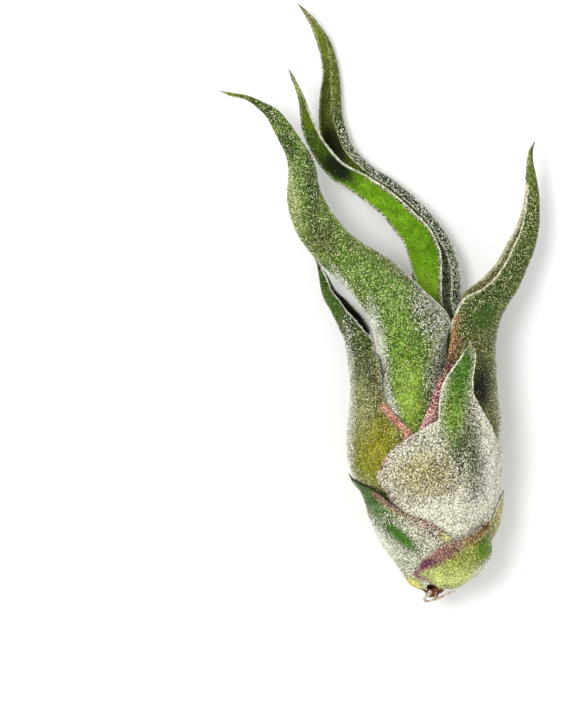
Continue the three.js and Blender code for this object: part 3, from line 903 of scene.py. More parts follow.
def grid_normals(grid):
    """Unit normals of a grid of points, outwards for an outer skin."""
    return unit(np.cross(np.gradient(grid, axis=1), np.gradient(grid, axis=0)))


def uneven(grid, height, size, seed):
    """How far each point of a skin moves along its normal, in millimetres."""
    flat = grid.reshape(-1, 3) / size
    at = Vector([seed * step for step in SEED_STEPS])
    found = [noise.noise(Vector(p) + at) for p in flat]
    return height * np.array(found).reshape(grid.shape[:2])


def margin_arc(outer, inner, outward):
    """Three rows of points that round a margin from the outer to the inner skin."""
    middle = (outer + inner) / 2
    half = (outer - inner) / 2
    out = unit(outward) * np.linalg.norm(half, axis=-1, keepdims=True)
    turns = [math.radians(degrees) for degrees in ARC_DEGREES]
    return [middle + half * math.cos(a) + out * math.sin(a) for a in turns]


def skin_columns(across):
    """Where the outer and the inner skin stand in a loop, with an arc after each."""
    return slice(0, across + 1), slice(across + 4, 2 * across + 5)


def leaf_loops(name, sizes, seed):
    """A leaf's closed loops of points in millimetres, from its base to its tip."""
    across = sizes.facets_across
    margin = sizes.margin_thickness / MM
    walls = [wall(s, across, margin) for s in LEAVES[name]()]
    both = np.array([np.concatenate(w) for w in walls])
    both = tapered(refine(both, sizes.row_step / MM))
    outer, inner = both[:, : across + 1], both[:, across + 1 :]
    normals = grid_normals(outer)
    height = sizes.unevenness / MM
    move = uneven(outer, height, SLOW_WAVE, seed)
    move += uneven(outer, height * QUICK_SHARE, QUICK_WAVE, seed + QUICK_SEED)
    outer = outer + normals * move[..., None]
    inner = inner + normals * move[..., None]
    right = margin_arc(outer[:, -1], inner[:, -1], outer[:, -1] - outer[:, -2])
    left = margin_arc(inner[:, 0], outer[:, 0], outer[:, 0] - outer[:, 1])
    loops = [outer[:, j] for j in range(across + 1)] + right
    loops += [inner[:, j] for j in range(across, -1, -1)] + left
    loops = with_ends(np.stack(loops, axis=1), across)
    loops[..., 2] = np.maximum(loops[..., 2], 0.0)
    return loops


def with_ends(loops, across):
    """Rounds the base end of a leaf and runs its tip out to a point."""
    outer, inner = skin_columns(across)
    columns = np.arange(loops.shape[1])
    pair = columns.copy()
    pair[outer] = columns[inner][::-1]
    pair[inner] = columns[outer][::-1]
    middle = (loops[0] + loops[0][pair]) / 2
    back = (loops[0] - loops[1]).mean(axis=0)
    back /= max(np.linalg.norm(back), TINY)
    first = [
        middle + (loops[0] - middle) * share + back * reach for share, reach in BASE_ENDS
    ]
    centre = loops[-1].mean(axis=0)
    forward = centre - loops[-2].mean(axis=0)
    forward /= max(np.linalg.norm(forward), TINY)
    last = [
        centre + (loops[-1] - centre) * share + forward * reach for share, reach in TIP_ENDS
    ]
    return np.concatenate([first, loops, last])


def painted(name, loops, across):
    """Each point's colour and its share of scales."""
    looks = LEAF_LOOKS[name]
    px, py = plan_of(loops)
    outer, inner = skin_columns(across)
    side = np.full(loops.shape[1], 0.5)
    side[outer] = 0.0
    side[inner] = 1.0
    inside = np.broadcast_to(side, px.shape)
    tone = np.empty(loops.shape)
    tone[:] = linear(looks["outer"])
    tone[inside == 1.0] = linear(looks["inner"])
    cover = np.where(inside == 1.0, looks.get("inner_cover", INNER_COVER), looks["cover"])
    for skin, shown in (("outer", inside < 1), ("inner", inside > 0)):
        for *patch, colour, strength in looks.get(skin + "_tints", ()):
            w = patch_weight(px, py, *patch) * strength * shown
            tone = towards(tone, linear(colour), w[..., None])
        for *patch, share, strength in looks.get(skin + "_covers", ()):
            w = patch_weight(px, py, *patch) * strength * shown
            cover = towards(cover, share, w)
    upright = np.ones(px.shape)
    upright[:, outer] = grid_normals(loops[:, outer])[..., 2]
    # The sides get more scales and a paler colour: the scales are denser down, and the pale
    # colour is a painted sheen of that down seen edge-on from above.
    steep = looks.get("edge", EDGE_SHARE) * eased((EDGE_NORMAL - upright) / EDGE_NORMAL)
    tone = towards(tone, linear(EDGE_SHEEN_COLOUR), (EDGE_SHEEN_TINT * steep)[..., None])
    cover = towards(cover, 1.0, steep)
    away = margin_distances(loops, across)
    reach = np.minimum(away["start"], away["end"])
    rim = looks.get("rim", RIM_SHARE) * eased(RIM_HEART - reach / RIM_WIDTH)
    tone = towards(tone, linear(RIM_COLOUR), rim[..., None])
    cover = towards(cover, RIM_COVER, rim)
    for margin, high, low, width, colour, strength in looks.get("bands", ()):
        w = strength * margin_weight(away[margin], width) * between(py, low, high)
        tone = towards(tone, linear(colour), w[..., None])
    for margin, high, low, width, share in looks.get("rims", ()):
        w = margin_weight(away[margin], width) * between(py, low, high)
        cover = towards(cover, share, w)
    return tone, np.clip(cover, 0, 1)


def margin_distances(loops, across):
    """How far each point is from the start and the end margin, in millimetres."""
    steps = np.linalg.norm(np.diff(loops[:, : across + 1], axis=1), axis=-1)
    run = np.concatenate([np.zeros((len(loops), 1)), np.cumsum(steps, axis=1)], axis=1)
    nothing = np.zeros((len(loops), 3))
    width = run[:, -1:]
    back = run[:, ::-1]
    start = np.concatenate([run, nothing + width, back, nothing], axis=1)
    end = np.concatenate([width - run, nothing, width - back, nothing + width], axis=1)
    return {"start": start, "end": end}


def ring_quads(rows, count):
    """Quads between rings of points that follow each other, as point numbers."""
    faces = []
    for i in range(rows - 1):
        a, b = i * count, (i + 1) * count
        for k in range(count):
            n = (k + 1) % count
            faces.append((a + k, a + n, b + n, b + k))
    return faces


def leaf_faces(rows, count, across):
    """Quads round every loop and both ends, as point numbers, facing outwards."""
    faces = ring_quads(rows, count)
    far = 2 * across + 4  # the inner skin's point under the outer skin's first one
    for row, flip in ((0, True), (rows - 1, False)):
        at = row * count
        ends = []
        for j in range(across):
            inner = at + far - j
            ends.append((at + j, at + j + 1, inner - 1, inner))
        ends.append(tuple(at + across + k for k in range(5)))
        ends.append((*(at + far + k for k in range(4)), at))
        faces += [tuple(reversed(f)) for f in ends] if flip else ends
    return faces


def numbers(items, field, width, kind=np.float32):
    """One field of many items, as rows."""
    found = np.empty(len(items) * width, kind)
    items.foreach_get(field, found)
    return found.reshape(-1, width)


def put_attribute(mesh, name, kind, values):
    """Stores one value for each point of a mesh."""
    layer = mesh.attributes.new(name, kind, "POINT")
    field = {"FLOAT": "value", "FLOAT_COLOR": "color", "FLOAT_VECTOR": "vector"}[kind]
    layer.data.foreach_set(field, np.asarray(values, np.float32).ravel())


def put_map(mesh, uv):
    """Gives a mesh its own map, one place for each corner."""
    layer = mesh.uv_layers.new(name="OFBake", do_init=False)
    layer.uv.foreach_set("vector", np.asarray(uv, np.float32).ravel())


def smooth_mesh(name, points, faces):
    """A mesh made of millimetre points, shaded smooth."""
    mesh = bpy.data.meshes.new(name)
    mesh.from_pydata((np.asarray(points) * MM).tolist(), [], faces)
    mesh.polygons.foreach_set("use_smooth", [True] * len(faces))
    return mesh


def linked(name, data):
    """A new object at the origin that holds a mesh, a lamp or a camera."""
    piece = bpy.data.objects.new(name, data)
    bpy.context.scene.collection.objects.link(piece)
    return piece


def build_leaf(name):
    """Makes one leaf in the place of its solid."""
    sizes = bpy.context.scene.air_plant_leaf
    across = sizes.facets_across
    loops = leaf_loops(name, sizes, seed=1 + list(LEAVES).index(name))
    rows, count = loops.shape[:2]
    faces = leaf_faces(rows, count, across)
    mesh = smooth_mesh(name + "_skin", loops.reshape(-1, 3), faces)
    tone, cover = painted(name, loops, across)
    u = np.broadcast_to(np.arange(count) / count, (rows, count))
    v = np.broadcast_to(np.linspace(*MAP_ROWS, rows)[:, None], (rows, count))
    spot = np.stack([u, v, np.zeros_like(u)], axis=-1)
    opaque = np.concatenate([tone, np.ones((rows, count, 1))], axis=-1)
    put_attribute(mesh, "tone", "FLOAT_COLOR", opaque)
    put_attribute(mesh, "cover", "FLOAT", cover)
    put_attribute(mesh, "spot", "FLOAT_VECTOR", spot)
    corners = numbers(mesh.loops, "vertex_index", 1, np.int32)[:, 0]
    uv = spot.reshape(-1, 3)[corners, :2]
    closing = np.repeat(np.arange((rows - 1) * count) % count == count - 1, 4)
    seam = uv[: len(closing)]
    seam[closing & (seam[:, 0] < 0.5), 0] = 1.0
    put_map(mesh, uv)
    mesh.materials.append(material_named("air_plant_skin", skin_material))
    piece = linked(name + "_skin", mesh)
    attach(piece, "root")
    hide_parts(name)


# ---------------------------------------------------------------- materials

MOST_NOISE = (0.3, 0.7)  # the range that nearly all of a soft noise keeps to
MOTTLE_SCALE = 420.0  # of the patches in a skin's colour; scales are per metre
VEIN_SCALE = (170.0, 9.0, 1.0)  # across and along a leaf's own map
CELL_SCALE = 3000.0  # of the scales that lie pressed to a skin
GRAIN_SCALE = 1500.0  # of the unevenness in a skin's gloss
THIN_SCALE = 700.0  # of the patches where scales are thinner
FLECK_SCALE = 2500.0  # of the unevenness in the scales' gloss
UNSHADED_SKIN = 1.1  # how bright a skin is away from the painted shade between its scales
PRESSED_SILVER = 0.4  # how silvery the pressed scales are
LIFT_THROUGH = 2.2  # how much paler a leaf's colour is through a scale
SKIN_RELIEF, FIBRE_RELIEF = 0.00008, 0.00012  # metres
STEM_FIBRES, ROOT_FIBRES = 2600.0, 3000.0
FLOOR_SCALE = 12.0


def material_named(name, make):
    """The material of that name, made once."""
    found = bpy.data.materials.get(name)
    if found:
        return found
    found = bpy.data.materials.new(name)
    found.use_nodes = True
    make(found.node_tree)
    return found


def feed(tree, node, socket, source):
    """Puts a link or a plain value on a node's socket."""
    if isinstance(source, bpy.types.NodeSocket):
        tree.links.new(source, node.inputs[socket])
    else:
        node.inputs[socket].default_value = source


def add(tree, kind, inputs=None, **settings):
    """A new node with its settings, and with links or plain values on its inputs."""
    node = tree.nodes.new(kind)
    for key, value in settings.items():
        setattr(node, key, value)
    for socket, source in (inputs or {}).items():
        feed(tree, node, socket, source)
    return node


def maths(tree, operation, a, b, clamp=False):
    """The result of one sum on two numbers."""
    settings = dict(operation=operation, use_clamp=clamp)
    return add(tree, "ShaderNodeMath", {0: a, 1: b}, **settings).outputs[0]


def plus(tree, number, other, share):
    """A number with a share of another added."""
    return maths(tree, "ADD", number, maths(tree, "MULTIPLY", other, share))


def scaled(tree, colour, factor):
    """A colour times a number."""
    inputs = {0: colour, "Scale": factor}
    return add(tree, "ShaderNodeVectorMath", inputs, operation="SCALE").outputs[0]


def blend(tree, share, a, b):
    """Two colours mixed."""
    return add(tree, "ShaderNodeMix", {0: share, 6: a, 7: b}, data_type="RGBA").outputs[2]


def ramp(tree, value, low, high, out_low=0.0, out_high=1.0):
    """A number carried smoothly from one range to another."""
    inputs = dict(enumerate((value, low, high, out_low, out_high)))
    node = add(tree, "ShaderNodeMapRange", inputs, interpolation_type="SMOOTHSTEP")
    return node.outputs[0]


def attribute(tree, name, output):
    """A value kept on the mesh."""
    return add(tree, "ShaderNodeAttribute", attribute_name=name).outputs[output]


def object_place(tree):
    """The place on the piece, in metres."""
    return add(tree, "ShaderNodeTexCoord").outputs["Object"]


def noise_at(tree, place, scale, detail=3.0):
    """Soft noise, about 0.5 on average."""
    inputs = {"Vector": place, "Scale": scale, "Detail": detail}
    return add(tree, "ShaderNodeTexNoise", inputs).outputs["Fac"]


def cells_at(tree, place, scale):
    """The distance to the middle of the cell that holds a place, and the cell's colour."""
    node = add(tree, "ShaderNodeTexVoronoi", {"Vector": place, "Scale": scale})
    return node.outputs["Distance"], node.outputs["Color"]


def parts_of(tree, triple):
    """The three numbers of a colour or a place."""
    return add(tree, "ShaderNodeSeparateXYZ", {0: triple}).outputs


def stretched(tree, place, scale):
    """A place with each axis scaled."""
    return add(tree, "ShaderNodeMapping", {"Vector": place, "Scale": scale}).outputs[0]


def bump(tree, height, distance):
    """A normal raised by height."""
    return add(tree, "ShaderNodeBump", {"Height": height, "Distance": distance}).outputs[0]


def skin_material(tree):
    """Leaf skin: mottled green with fine lengthwise veins, under pressed-down scales,
    darkened between them by painted shade.
    """
    colours = bpy.context.scene.air_plant_leaf
    shader = tree.nodes["Principled BSDF"]
    place = object_place(tree)
    tone = attribute(tree, "tone", "Color")
    cover = attribute(tree, "cover", "Fac")
    mottle = noise_at(tree, place, MOTTLE_SCALE, 4.0)
    mottle = ramp(tree, mottle, *MOST_NOISE, 0.84, 1.28)
    flat = add(tree, "ShaderNodeUVMap", uv_map="OFBake").outputs[0]
    veins = noise_at(tree, stretched(tree, flat, VEIN_SCALE), 1.0, 2.0)
    veins = ramp(tree, veins, *MOST_NOISE, 0.9, 1.1)
    varied = scaled(tree, tone, maths(tree, "MULTIPLY", mottle, veins))
    distance, cell = cells_at(tree, place, CELL_SCALE)
    dots = ramp(tree, distance, 0.5, 0.18)
    drawn = parts_of(tree, cell)
    # Painted shade: the skin between the scales is darkened, most where the scales are dense
    # and least on pale skins, in place of the shadows that the scales cast.
    deepest_shade = ramp(tree, cover, 0.0, 0.8, 0.75, 0.3)
    shallow = ramp(tree, parts_of(tree, tone)[1], 0.45, 0.85, 0.3, 0.7)
    deepest_shade = maths(tree, "MAXIMUM", deepest_shade, shallow)
    clumps = noise_at(tree, place, CLUMP_SCALE, CLUMP_DETAIL)
    clump_shade = ramp(tree, clumps, 0.36, 0.6, deepest_shade, UNSHADED_SKIN)
    cell_shade = ramp(tree, drawn[0], 0.0, 0.85, deepest_shade, UNSHADED_SKIN)
    dark = scaled(tree, varied, maths(tree, "MULTIPLY", clump_shade, cell_shade))
    pale = blend(tree, PRESSED_SILVER, varied, (*colours.silver, 1.0))
    picked = ramp(tree, drawn[1], 0.55, 0.9)
    shown = maths(tree, "MULTIPLY", dots, maths(tree, "MULTIPLY", cover, picked))
    feed(tree, shader, "Base Color", blend(tree, shown, dark, pale))
    rough = maths(tree, "ADD", maths(tree, "MULTIPLY", cover, 0.22), 0.42)
    rough = plus(tree, rough, noise_at(tree, place, GRAIN_SCALE), 0.12)
    feed(tree, shader, "Roughness", rough)
    height = plus(tree, maths(tree, "MULTIPLY", dots, cover), veins, 1.2)
    feed(tree, shader, "Normal", bump(tree, height, SKIN_RELIEF))
    feed(tree, shader, "Specular IOR Level", 0.07)


def scale_material(tree):
    """Silvery scales that let the leaf's colour through a little."""
    colours = bpy.context.scene.air_plant_leaf
    shader = tree.nodes["Principled BSDF"]
    place = object_place(tree)
    tone = attribute(tree, "tone", "Color")
    cover = attribute(tree, "cover", "Fac")
    dense = ramp(tree, cover, 0.5, 0.95)
    silver = blend(tree, dense, (*colours.gold, 1.0), (*colours.silver, 1.0))
    thinnest = ramp(tree, cover, 0.3, 1.0, 0.28, 0.04)
    thin = ramp(tree, noise_at(tree, place, THIN_SCALE), *MOST_NOISE, 0.6, 1.2)
    through = maths(tree, "MULTIPLY", thinnest, thin, clamp=True)
    colour = blend(tree, through, silver, scaled(tree, tone, LIFT_THROUGH))
    colour = scaled(tree, colour, attribute(tree, "shade", "Fac"))
    feed(tree, shader, "Base Color", colour)
    rough = ramp(tree, noise_at(tree, place, FLECK_SCALE), *MOST_NOISE, 0.45, 0.7)
    feed(tree, shader, "Roughness", rough)
    feed(tree, shader, "Specular IOR Level", 0.15)


def fibre_material(tree, dark, pale, scale):
    """Dry fibrous matter between two colours."""
    shader = tree.nodes["Principled BSDF"]
    place = object_place(tree)
    fibres = noise_at(tree, stretched(tree, place, (scale, scale * 0.25, scale)), 1.0, 5.0)
    spots = noise_at(tree, place, scale * 0.4)
    share = maths(tree, "MULTIPLY", ramp(tree, fibres, 0.32, 0.68), 0.7)
    share = plus(tree, share, spots, 0.3)
    feed(tree, shader, "Base Color", blend(tree, share, (*dark, 1.0), (*pale, 1.0)))
    feed(tree, shader, "Roughness", ramp(tree, spots, 0.2, 0.8, 0.6, 0.9))
    feed(tree, shader, "Normal", bump(tree, fibres, FIBRE_RELIEF))
    feed(tree, shader, "Specular IOR Level", 0.3)


def stem_material(tree):
    """Brown broken wood."""
    colours = bpy.context.scene.air_plant_base
    fibre_material(tree, colours.stem_dark, colours.stem_pale, STEM_FIBRES)


def root_material(tree):
    """Pale dried root."""
    colours = bpy.context.scene.air_plant_base
    fibre_material(tree, colours.root_dark, colours.root_pale, ROOT_FIBRES)


def floor_material(tree):
    """A plain pale floor with the faintest unevenness."""
    stage = bpy.context.scene.air_plant_stage
    shader = tree.nodes["Principled BSDF"]
    faint = noise_at(tree, object_place(tree), FLOOR_SCALE)
    faint = ramp(tree, faint, *MOST_NOISE, 0.985, 1.0)
    feed(tree, shader, "Base Color", scaled(tree, stage.floor_colour, faint))
    feed(tree, shader, "Roughness", ramp(tree, faint, 0.98, 1.0, 0.75, 0.85))
    feed(tree, shader, "Specular IOR Level", 0.1)


# ---------------------------------------------------------------- the scales

NEAR_FLOOR = 0.4 * MM  # no scales grow on an underside this low
RAY_START = 0.06 * MM  # off a skin, so that a ray doesn't meet it
CUP_DEPTH = 0.5  # of a scale, to its radius
CUP_PLACE = (0.35, 0.0, -0.05)  # of a scale on its point, to its radius
SHADES = (0.6, 1.15)  # how dark and how light a scale may be
GROWTHS = (0.65, 1.3)  # how small and how large, to the size that is set
MAP_CUP = 0.0012  # how large a scale is on the leaf's own map

SCALE_INPUTS = {
    "Geometry": "Geometry", "Size": "Float", "Spacing": "Float", "Density": "Float",
    "Lean": "Float", "Narrowness": "Float", "Sides": "Int", "Seed": "Int",
    "Material": "Material",
}


def kept_number(tree, name):
    """A number kept on the skin's points."""
    inputs = {"Name": name}
    return add(tree, "GeometryNodeInputNamedAttribute", inputs, data_type="FLOAT").outputs[0]


def drawn_number(tree, least, most, seed):
    """A number drawn anew for each scale."""
    inputs = {2: least, 3: most, "Seed": seed}
    return add(tree, "FunctionNodeRandomValue", inputs, data_type="FLOAT").outputs[1]


def scale_cup(tree, sides, narrowness):
    """One shallow cup of radius 1, standing out past its point."""
    cup = add(
        tree, "GeometryNodeMeshCone",
        {"Vertices": sides, "Radius Top": 1.0, "Radius Bottom": 0.0, "Depth": CUP_DEPTH},
        fill_type="NGON",
    ).outputs["Mesh"]
    narrow = add(tree, "ShaderNodeCombineXYZ", {0: 1.0, 1: narrowness, 2: 1.0}).outputs[0]
    inputs = {"Geometry": cup, "Translation": CUP_PLACE, "Scale": narrow}
    return add(tree, "GeometryNodeTransform", inputs).outputs["Geometry"]


def leant(tree, rotation, most, seed):
    """A rotation leant either way by up to an angle, and turned any way round."""
    turn = add(
        tree, "FunctionNodeRandomValue",
        {0: (-1.0, -1.0, -1.0), 1: (1.0, 1.0, 1.0), "Seed": seed},
        data_type="FLOAT_VECTOR",
    ).outputs[0]
    range_of = add(tree, "ShaderNodeCombineXYZ", {0: most, 1: most, 2: math.pi}).outputs[0]
    lean = add(tree, "ShaderNodeVectorMath", {0: turn, 1: range_of}, operation="MULTIPLY")
    euler = add(tree, "FunctionNodeEulerToRotation", {0: lean.outputs[0]}).outputs[0]
    inputs = {0: rotation, 1: euler}
    return add(
        tree, "FunctionNodeRotateRotation", inputs, rotation_space="LOCAL"
    ).outputs[0]


def scale_tree():
    """The node tree that strews small cupped scales over a skin."""
    tree = bpy.data.node_groups.new("air_plant_scales", "GeometryNodeTree")
    sockets = {}
    for name, kind in SCALE_INPUTS.items():
        sockets[name] = tree.interface.new_socket(
            name=name, in_out="INPUT", socket_type="NodeSocket" + kind
        ).identifier
    tree.interface.new_socket(
        name="Geometry", in_out="OUTPUT", socket_type="NodeSocketGeometry"
    )
    given = add(tree, "NodeGroupInput").outputs
    seed = given["Seed"]
    spread = add(
        tree, "GeometryNodeDistributePointsOnFaces",
        {
            "Mesh": given["Geometry"], "Distance Min": given["Spacing"],
            "Density Max": given["Density"], "Seed": seed,
            "Density Factor": kept_number(tree, "scaled"),
        },
        distribute_method="POISSON",
    ).outputs
    cover = kept_number(tree, "cover")
    place = add(tree, "GeometryNodeInputPosition").outputs[0]
    clumps = noise_at(tree, place, CLUMP_SCALE, CLUMP_DETAIL)
    least = ramp(tree, cover, 0.3, 0.95, 0.5, 0.45)
    between_clumps = maths(tree, "LESS_THAN", clumps, least)
    clumped = add(
        tree, "GeometryNodeDeleteGeometry",
        {"Geometry": spread["Points"], "Selection": between_clumps},
        domain="POINT",
    ).outputs[0]
    shade = drawn_number(tree, *SHADES, seed)
    shaded = add(
        tree, "GeometryNodeStoreNamedAttribute",
        {"Geometry": clumped, "Name": "shade", "Value": shade},
        data_type="FLOAT", domain="POINT",
    ).outputs["Geometry"]
    fuller = ramp(tree, cover, 0.1, 1.0, 0.65, 1.15)
    size = maths(tree, "MULTIPLY", given["Size"], fuller)
    strewn = add(
        tree, "GeometryNodeInstanceOnPoints",
        {
            "Points": shaded,
            "Instance": scale_cup(tree, given["Sides"], given["Narrowness"]),
            "Rotation": leant(tree, spread["Rotation"], given["Lean"], seed),
            "Scale": maths(tree, "MULTIPLY", drawn_number(tree, *GROWTHS, seed), size),
        },
    ).outputs["Instances"]
    real = add(tree, "GeometryNodeRealizeInstances", {"Geometry": strewn}).outputs[0]
    clad = add(
        tree, "GeometryNodeSetMaterial", {"Geometry": real, "Material": given["Material"]}
    ).outputs[0]
    add(tree, "NodeGroupOutput", {0: clad})
    return tree, sockets


def open_share(mesh, walls):
    """1 where a point has nothing close over it, and 0 where a leaf or the floor is."""
    places = numbers(mesh.vertices, "co", 3)
    normals = numbers(mesh.vertices, "normal", 3)
    found = np.ones(len(places), np.float32)
    for i, (place, normal) in enumerate(zip(places, normals)):
        at, way = Vector(place), Vector(normal)
        if at.z < NEAR_FLOOR and way.z < 0:
            found[i] = 0.0
        elif walls.ray_cast(at + way * RAY_START, way, LEAST_OPEN)[0]:
            found[i] = 0.0
    return found


def all_walls():
    """Every leaf skin as one tree of faces to cast rays at."""
    points, faces = [], []
    for name in LEAVES:
        mesh = bpy.data.objects[name + "_skin"].data
        first = len(points)
        points += [v.co.copy() for v in mesh.vertices]
        faces += [[first + k for k in p.vertices] for p in mesh.polygons]
    return BVHTree.FromPolygons(points, faces)


def build_scales(name, tree, sockets, walls, seed):
    """Strews the scales of one leaf and makes them a plain mesh."""
    sizes = bpy.context.scene.air_plant_scales
    ground = bpy.data.objects[name + "_skin"].data.copy()
    cover = numbers(ground.attributes["cover"].data, "value", 1)[:, 0]
    put_attribute(ground, "scaled", "FLOAT", cover * open_share(ground, walls))
    carrier = linked(name + "_strewn", ground)
    change = carrier.modifiers.new("scales", "NODES")
    change.node_group = tree
    inputs = dict(
        Size=sizes.size, Spacing=sizes.spacing, Density=sizes.density, Lean=sizes.lean,
        Narrowness=sizes.narrowness, Sides=sizes.sides, Seed=seed,
        Material=material_named("air_plant_scale", scale_material),
    )
    for key, value in inputs.items():
        change[sockets[key]] = value
    graph = bpy.context.evaluated_depsgraph_get()
    mesh = bpy.data.meshes.new_from_object(carrier.evaluated_get(graph))
    mesh.name = name + "_scales"
    bpy.data.objects.remove(carrier)
    bpy.data.meshes.remove(ground)
    if not mesh.polygons:
        raise RuntimeError(f"{name} got no scales")
    place = numbers(mesh.vertices, "co", 3)
    place[:, 2] = np.maximum(place[:, 2], 0.0)
    mesh.vertices.foreach_set("co", place.ravel())
    spots = numbers(mesh.attributes["spot"].data, "vector", 3)[:, :2]
    corners = numbers(mesh.loops, "vertex_index", 1, np.int32)[:, 0]
    points_each = sizes.sides + 1
    turn = np.arange(len(spots)) % points_each * (2 * math.pi / points_each)
    spots = spots + MAP_CUP * np.stack([np.cos(turn), np.sin(turn)], axis=-1)
    for layer in list(mesh.uv_layers):
        mesh.uv_layers.remove(layer)
    put_map(mesh, np.clip(spots[corners], 0, 1))
    piece = linked(name + "_scales", mesh)
    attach(piece, "root")


# ---------------------------------------------------------------- stem and root

STEM_X = 438.5  # the plan x of the stub's axis
STEM_SIDES = 48
STEM_STEP = 1.2  # between the stub's rings, along its profile
RIBS = 9
RIB_HEIGHT = 0.1  # a share of the radius
RIB_TWIST = 0.1  # radians in one plan unit
BARK_ROUGHNESS = 0.25  # a share of the radius
BARK_ROUND, BARK_ALONG = 2, 0.2  # steps in the noise, round the stub and along it
TORN_STARTS, TORN_LENGTH = 589, 3  # plan y where the tear starts, and how far it grows
TORN_DEPTH = 0.35  # millimetres
TORN_ROUND, TORN_PLACE = 3, 5.0  # its steps round the stub, and its place in the noise
LEAST_RADIUS = 0.02  # millimetres

# The stub's radius in millimetres at plan y, from its broken end into the bulb.
STEM_PROFILE = [
    [0.0, 592.5], [0.7, 592.4], [1.0, 591.6], [1.15, 590], [1.2, 585.5], [3.8, 584],
    [5.2, 579], [5.7, 573], [5.7, 558], [4.0, 546], [1.5, 536], [0.0, 536],
]

# Plan x, plan y and height in millimetres along the root and its threads.
ROOT_PATH = [
    (431, 591, 21.7), (427, 596.5, 21.6), (424.6, 600.3, 20.6), (428, 601.3, 19.6),
    (434, 599.3, 19.5), (444, 595.2, 20.2), (455, 591, 20.8),
]
THREAD_PATHS = [
    [(430, 590, 22), (425.5, 596, 22.2), (423.6, 599.5, 21), (427, 600.6, 20.2)],
    [(433, 600.5, 19.8), (440, 598.4, 19.8), (447, 594, 20.6), (452, 589, 21.4)],
    [(436, 592, 21), (435, 597, 20.8), (431, 600.5, 20.2)],
]
ROOT_STEP = 0.16  # millimetres between rings
ROOT_SIDES, THREAD_SIDES = 14, 8
ROOT_RADIUS, ROOT_THINS, ROOT_KNOTS = 0.34, 0.2, 0.05  # millimetres
KNOT_TURNS = 23  # radians of knots along the root
THREAD_RADIUS = 0.14  # millimetres
THREAD_TAPER = (1.2, 0.5)  # of that radius, at a thread's two ends
ROOT_WOBBLE = 0.5  # how far a radius strays, as a share of it
WOBBLE_STEPS = (1.7, 0.45, 2.1)  # in the noise, for each side, ring and seed
ROOT_SEED, THREAD_SEED = 3, 7


def capped(rows, count):
    """The faces of a row of rings, closed at both ends."""
    faces = ring_quads(rows, count)
    faces.append(tuple(range(count - 1, -1, -1)))
    faces.append(tuple((rows - 1) * count + k for k in range(count)))
    return faces


def tube(path, radii, sides, seed):
    """A closed tube along points in millimetres, as points and faces."""
    path = np.array(path, float)
    heading = np.gradient(path, axis=0)
    heading /= np.linalg.norm(heading, axis=1, keepdims=True)
    up = np.array([0.0, 0.0, 1.0])
    round_step, along_step, seed_step = WOBBLE_STEPS
    points = []
    for i, (p, h) in enumerate(zip(path, heading)):
        side = np.cross(h, up)
        side /= max(np.linalg.norm(side), 1e-6)
        over = np.cross(side, h)
        for k in range(sides):
            a = 2 * math.pi * k / sides
            spot = Vector((k * round_step + seed, i * along_step, seed * seed_step))
            r = radii[i] * (1 + ROOT_WOBBLE * noise.noise(spot))
            points.append(p + r * (math.cos(a) * side + math.sin(a) * over))
    return points, capped(len(path), sides)


def dressed(name, points, faces, node, make):
    """Makes one closed piece in the place of a solid."""
    mesh = smooth_mesh(name, points, faces)
    form = bmesh.new()
    form.from_mesh(mesh)
    bmesh.ops.recalc_face_normals(form, faces=form.faces)
    form.to_mesh(mesh)
    form.free()
    mesh.materials.append(material_named(name + "_matter", make))
    piece = linked(name, mesh)
    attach(piece, "root")
    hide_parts(node)


def joined(parts):
    """Several lists of points and faces as one."""
    points, faces = [], []
    for some, their in parts:
        first = len(points)
        points += list(some)
        faces += [tuple(first + k for k in face) for face in their]
    return points, faces


def curved(knots, step):
    """A smooth path through knots, with points at most `step` apart."""
    return refine(np.array(knots, float)[:, None, :], step)[:, 0]


def plan_path(knots):
    """A smooth path in millimetres through plan points with heights."""
    return curved([(*placed(x, y, z), z) for x, y, z in knots], ROOT_STEP)


def build_stem():
    """The stub of the stem, ribbed and broken off at its end."""
    profile = curved(STEM_PROFILE, STEM_STEP)
    points = []
    for radius, y in profile:
        cx, along = placed(STEM_X, y, AXIS_HEIGHT)
        torn = min(1.0, max(0.0, (y - TORN_STARTS) / TORN_LENGTH))
        for k in range(STEM_SIDES):
            a = 2 * math.pi * k / STEM_SIDES
            side, up = math.sin(a), math.cos(a)
            rib = 1 + RIB_HEIGHT * math.sin(a * RIBS + y * RIB_TWIST)
            grain = Vector((up * BARK_ROUND, side * BARK_ROUND, y * BARK_ALONG))
            bark = 1 + BARK_ROUGHNESS * noise.noise(grain)
            r = max(radius, LEAST_RADIUS) * rib * bark
            ragged = Vector((up * TORN_ROUND, side * TORN_ROUND, TORN_PLACE))
            tear = TORN_DEPTH * noise.noise(ragged)
            points.append((cx + r * side, along + tear * torn, AXIS_HEIGHT + r * up))
    faces = capped(len(profile), STEM_SIDES)
    dressed("stem_stub", points, faces, "stem", stem_material)


def build_root():
    """The dried root, looped round the stem, with finer threads beside it."""
    path = plan_path(ROOT_PATH)
    share = np.linspace(0, 1, len(path))
    radii = ROOT_RADIUS - ROOT_THINS * share + ROOT_KNOTS * np.sin(share * KNOT_TURNS)
    parts = [tube(path, radii, ROOT_SIDES, ROOT_SEED)]
    for i, knots in enumerate(THREAD_PATHS):
        thread = plan_path(knots)
        thin = THREAD_RADIUS * np.linspace(*THREAD_TAPER, len(thread))
        parts.append(tube(thread, thin, THREAD_SIDES, THREAD_SEED + i))
    points, faces = joined(parts)
    dressed("root_dried", points, faces, "root", root_material)


# ---------------------------------------------------------------- the stage

FLOOR_DROP = 0.02 * MM  # keeps the floor just clear of what rests on it
CAMERA_CLIP = (0.05, 20.0)  # metres


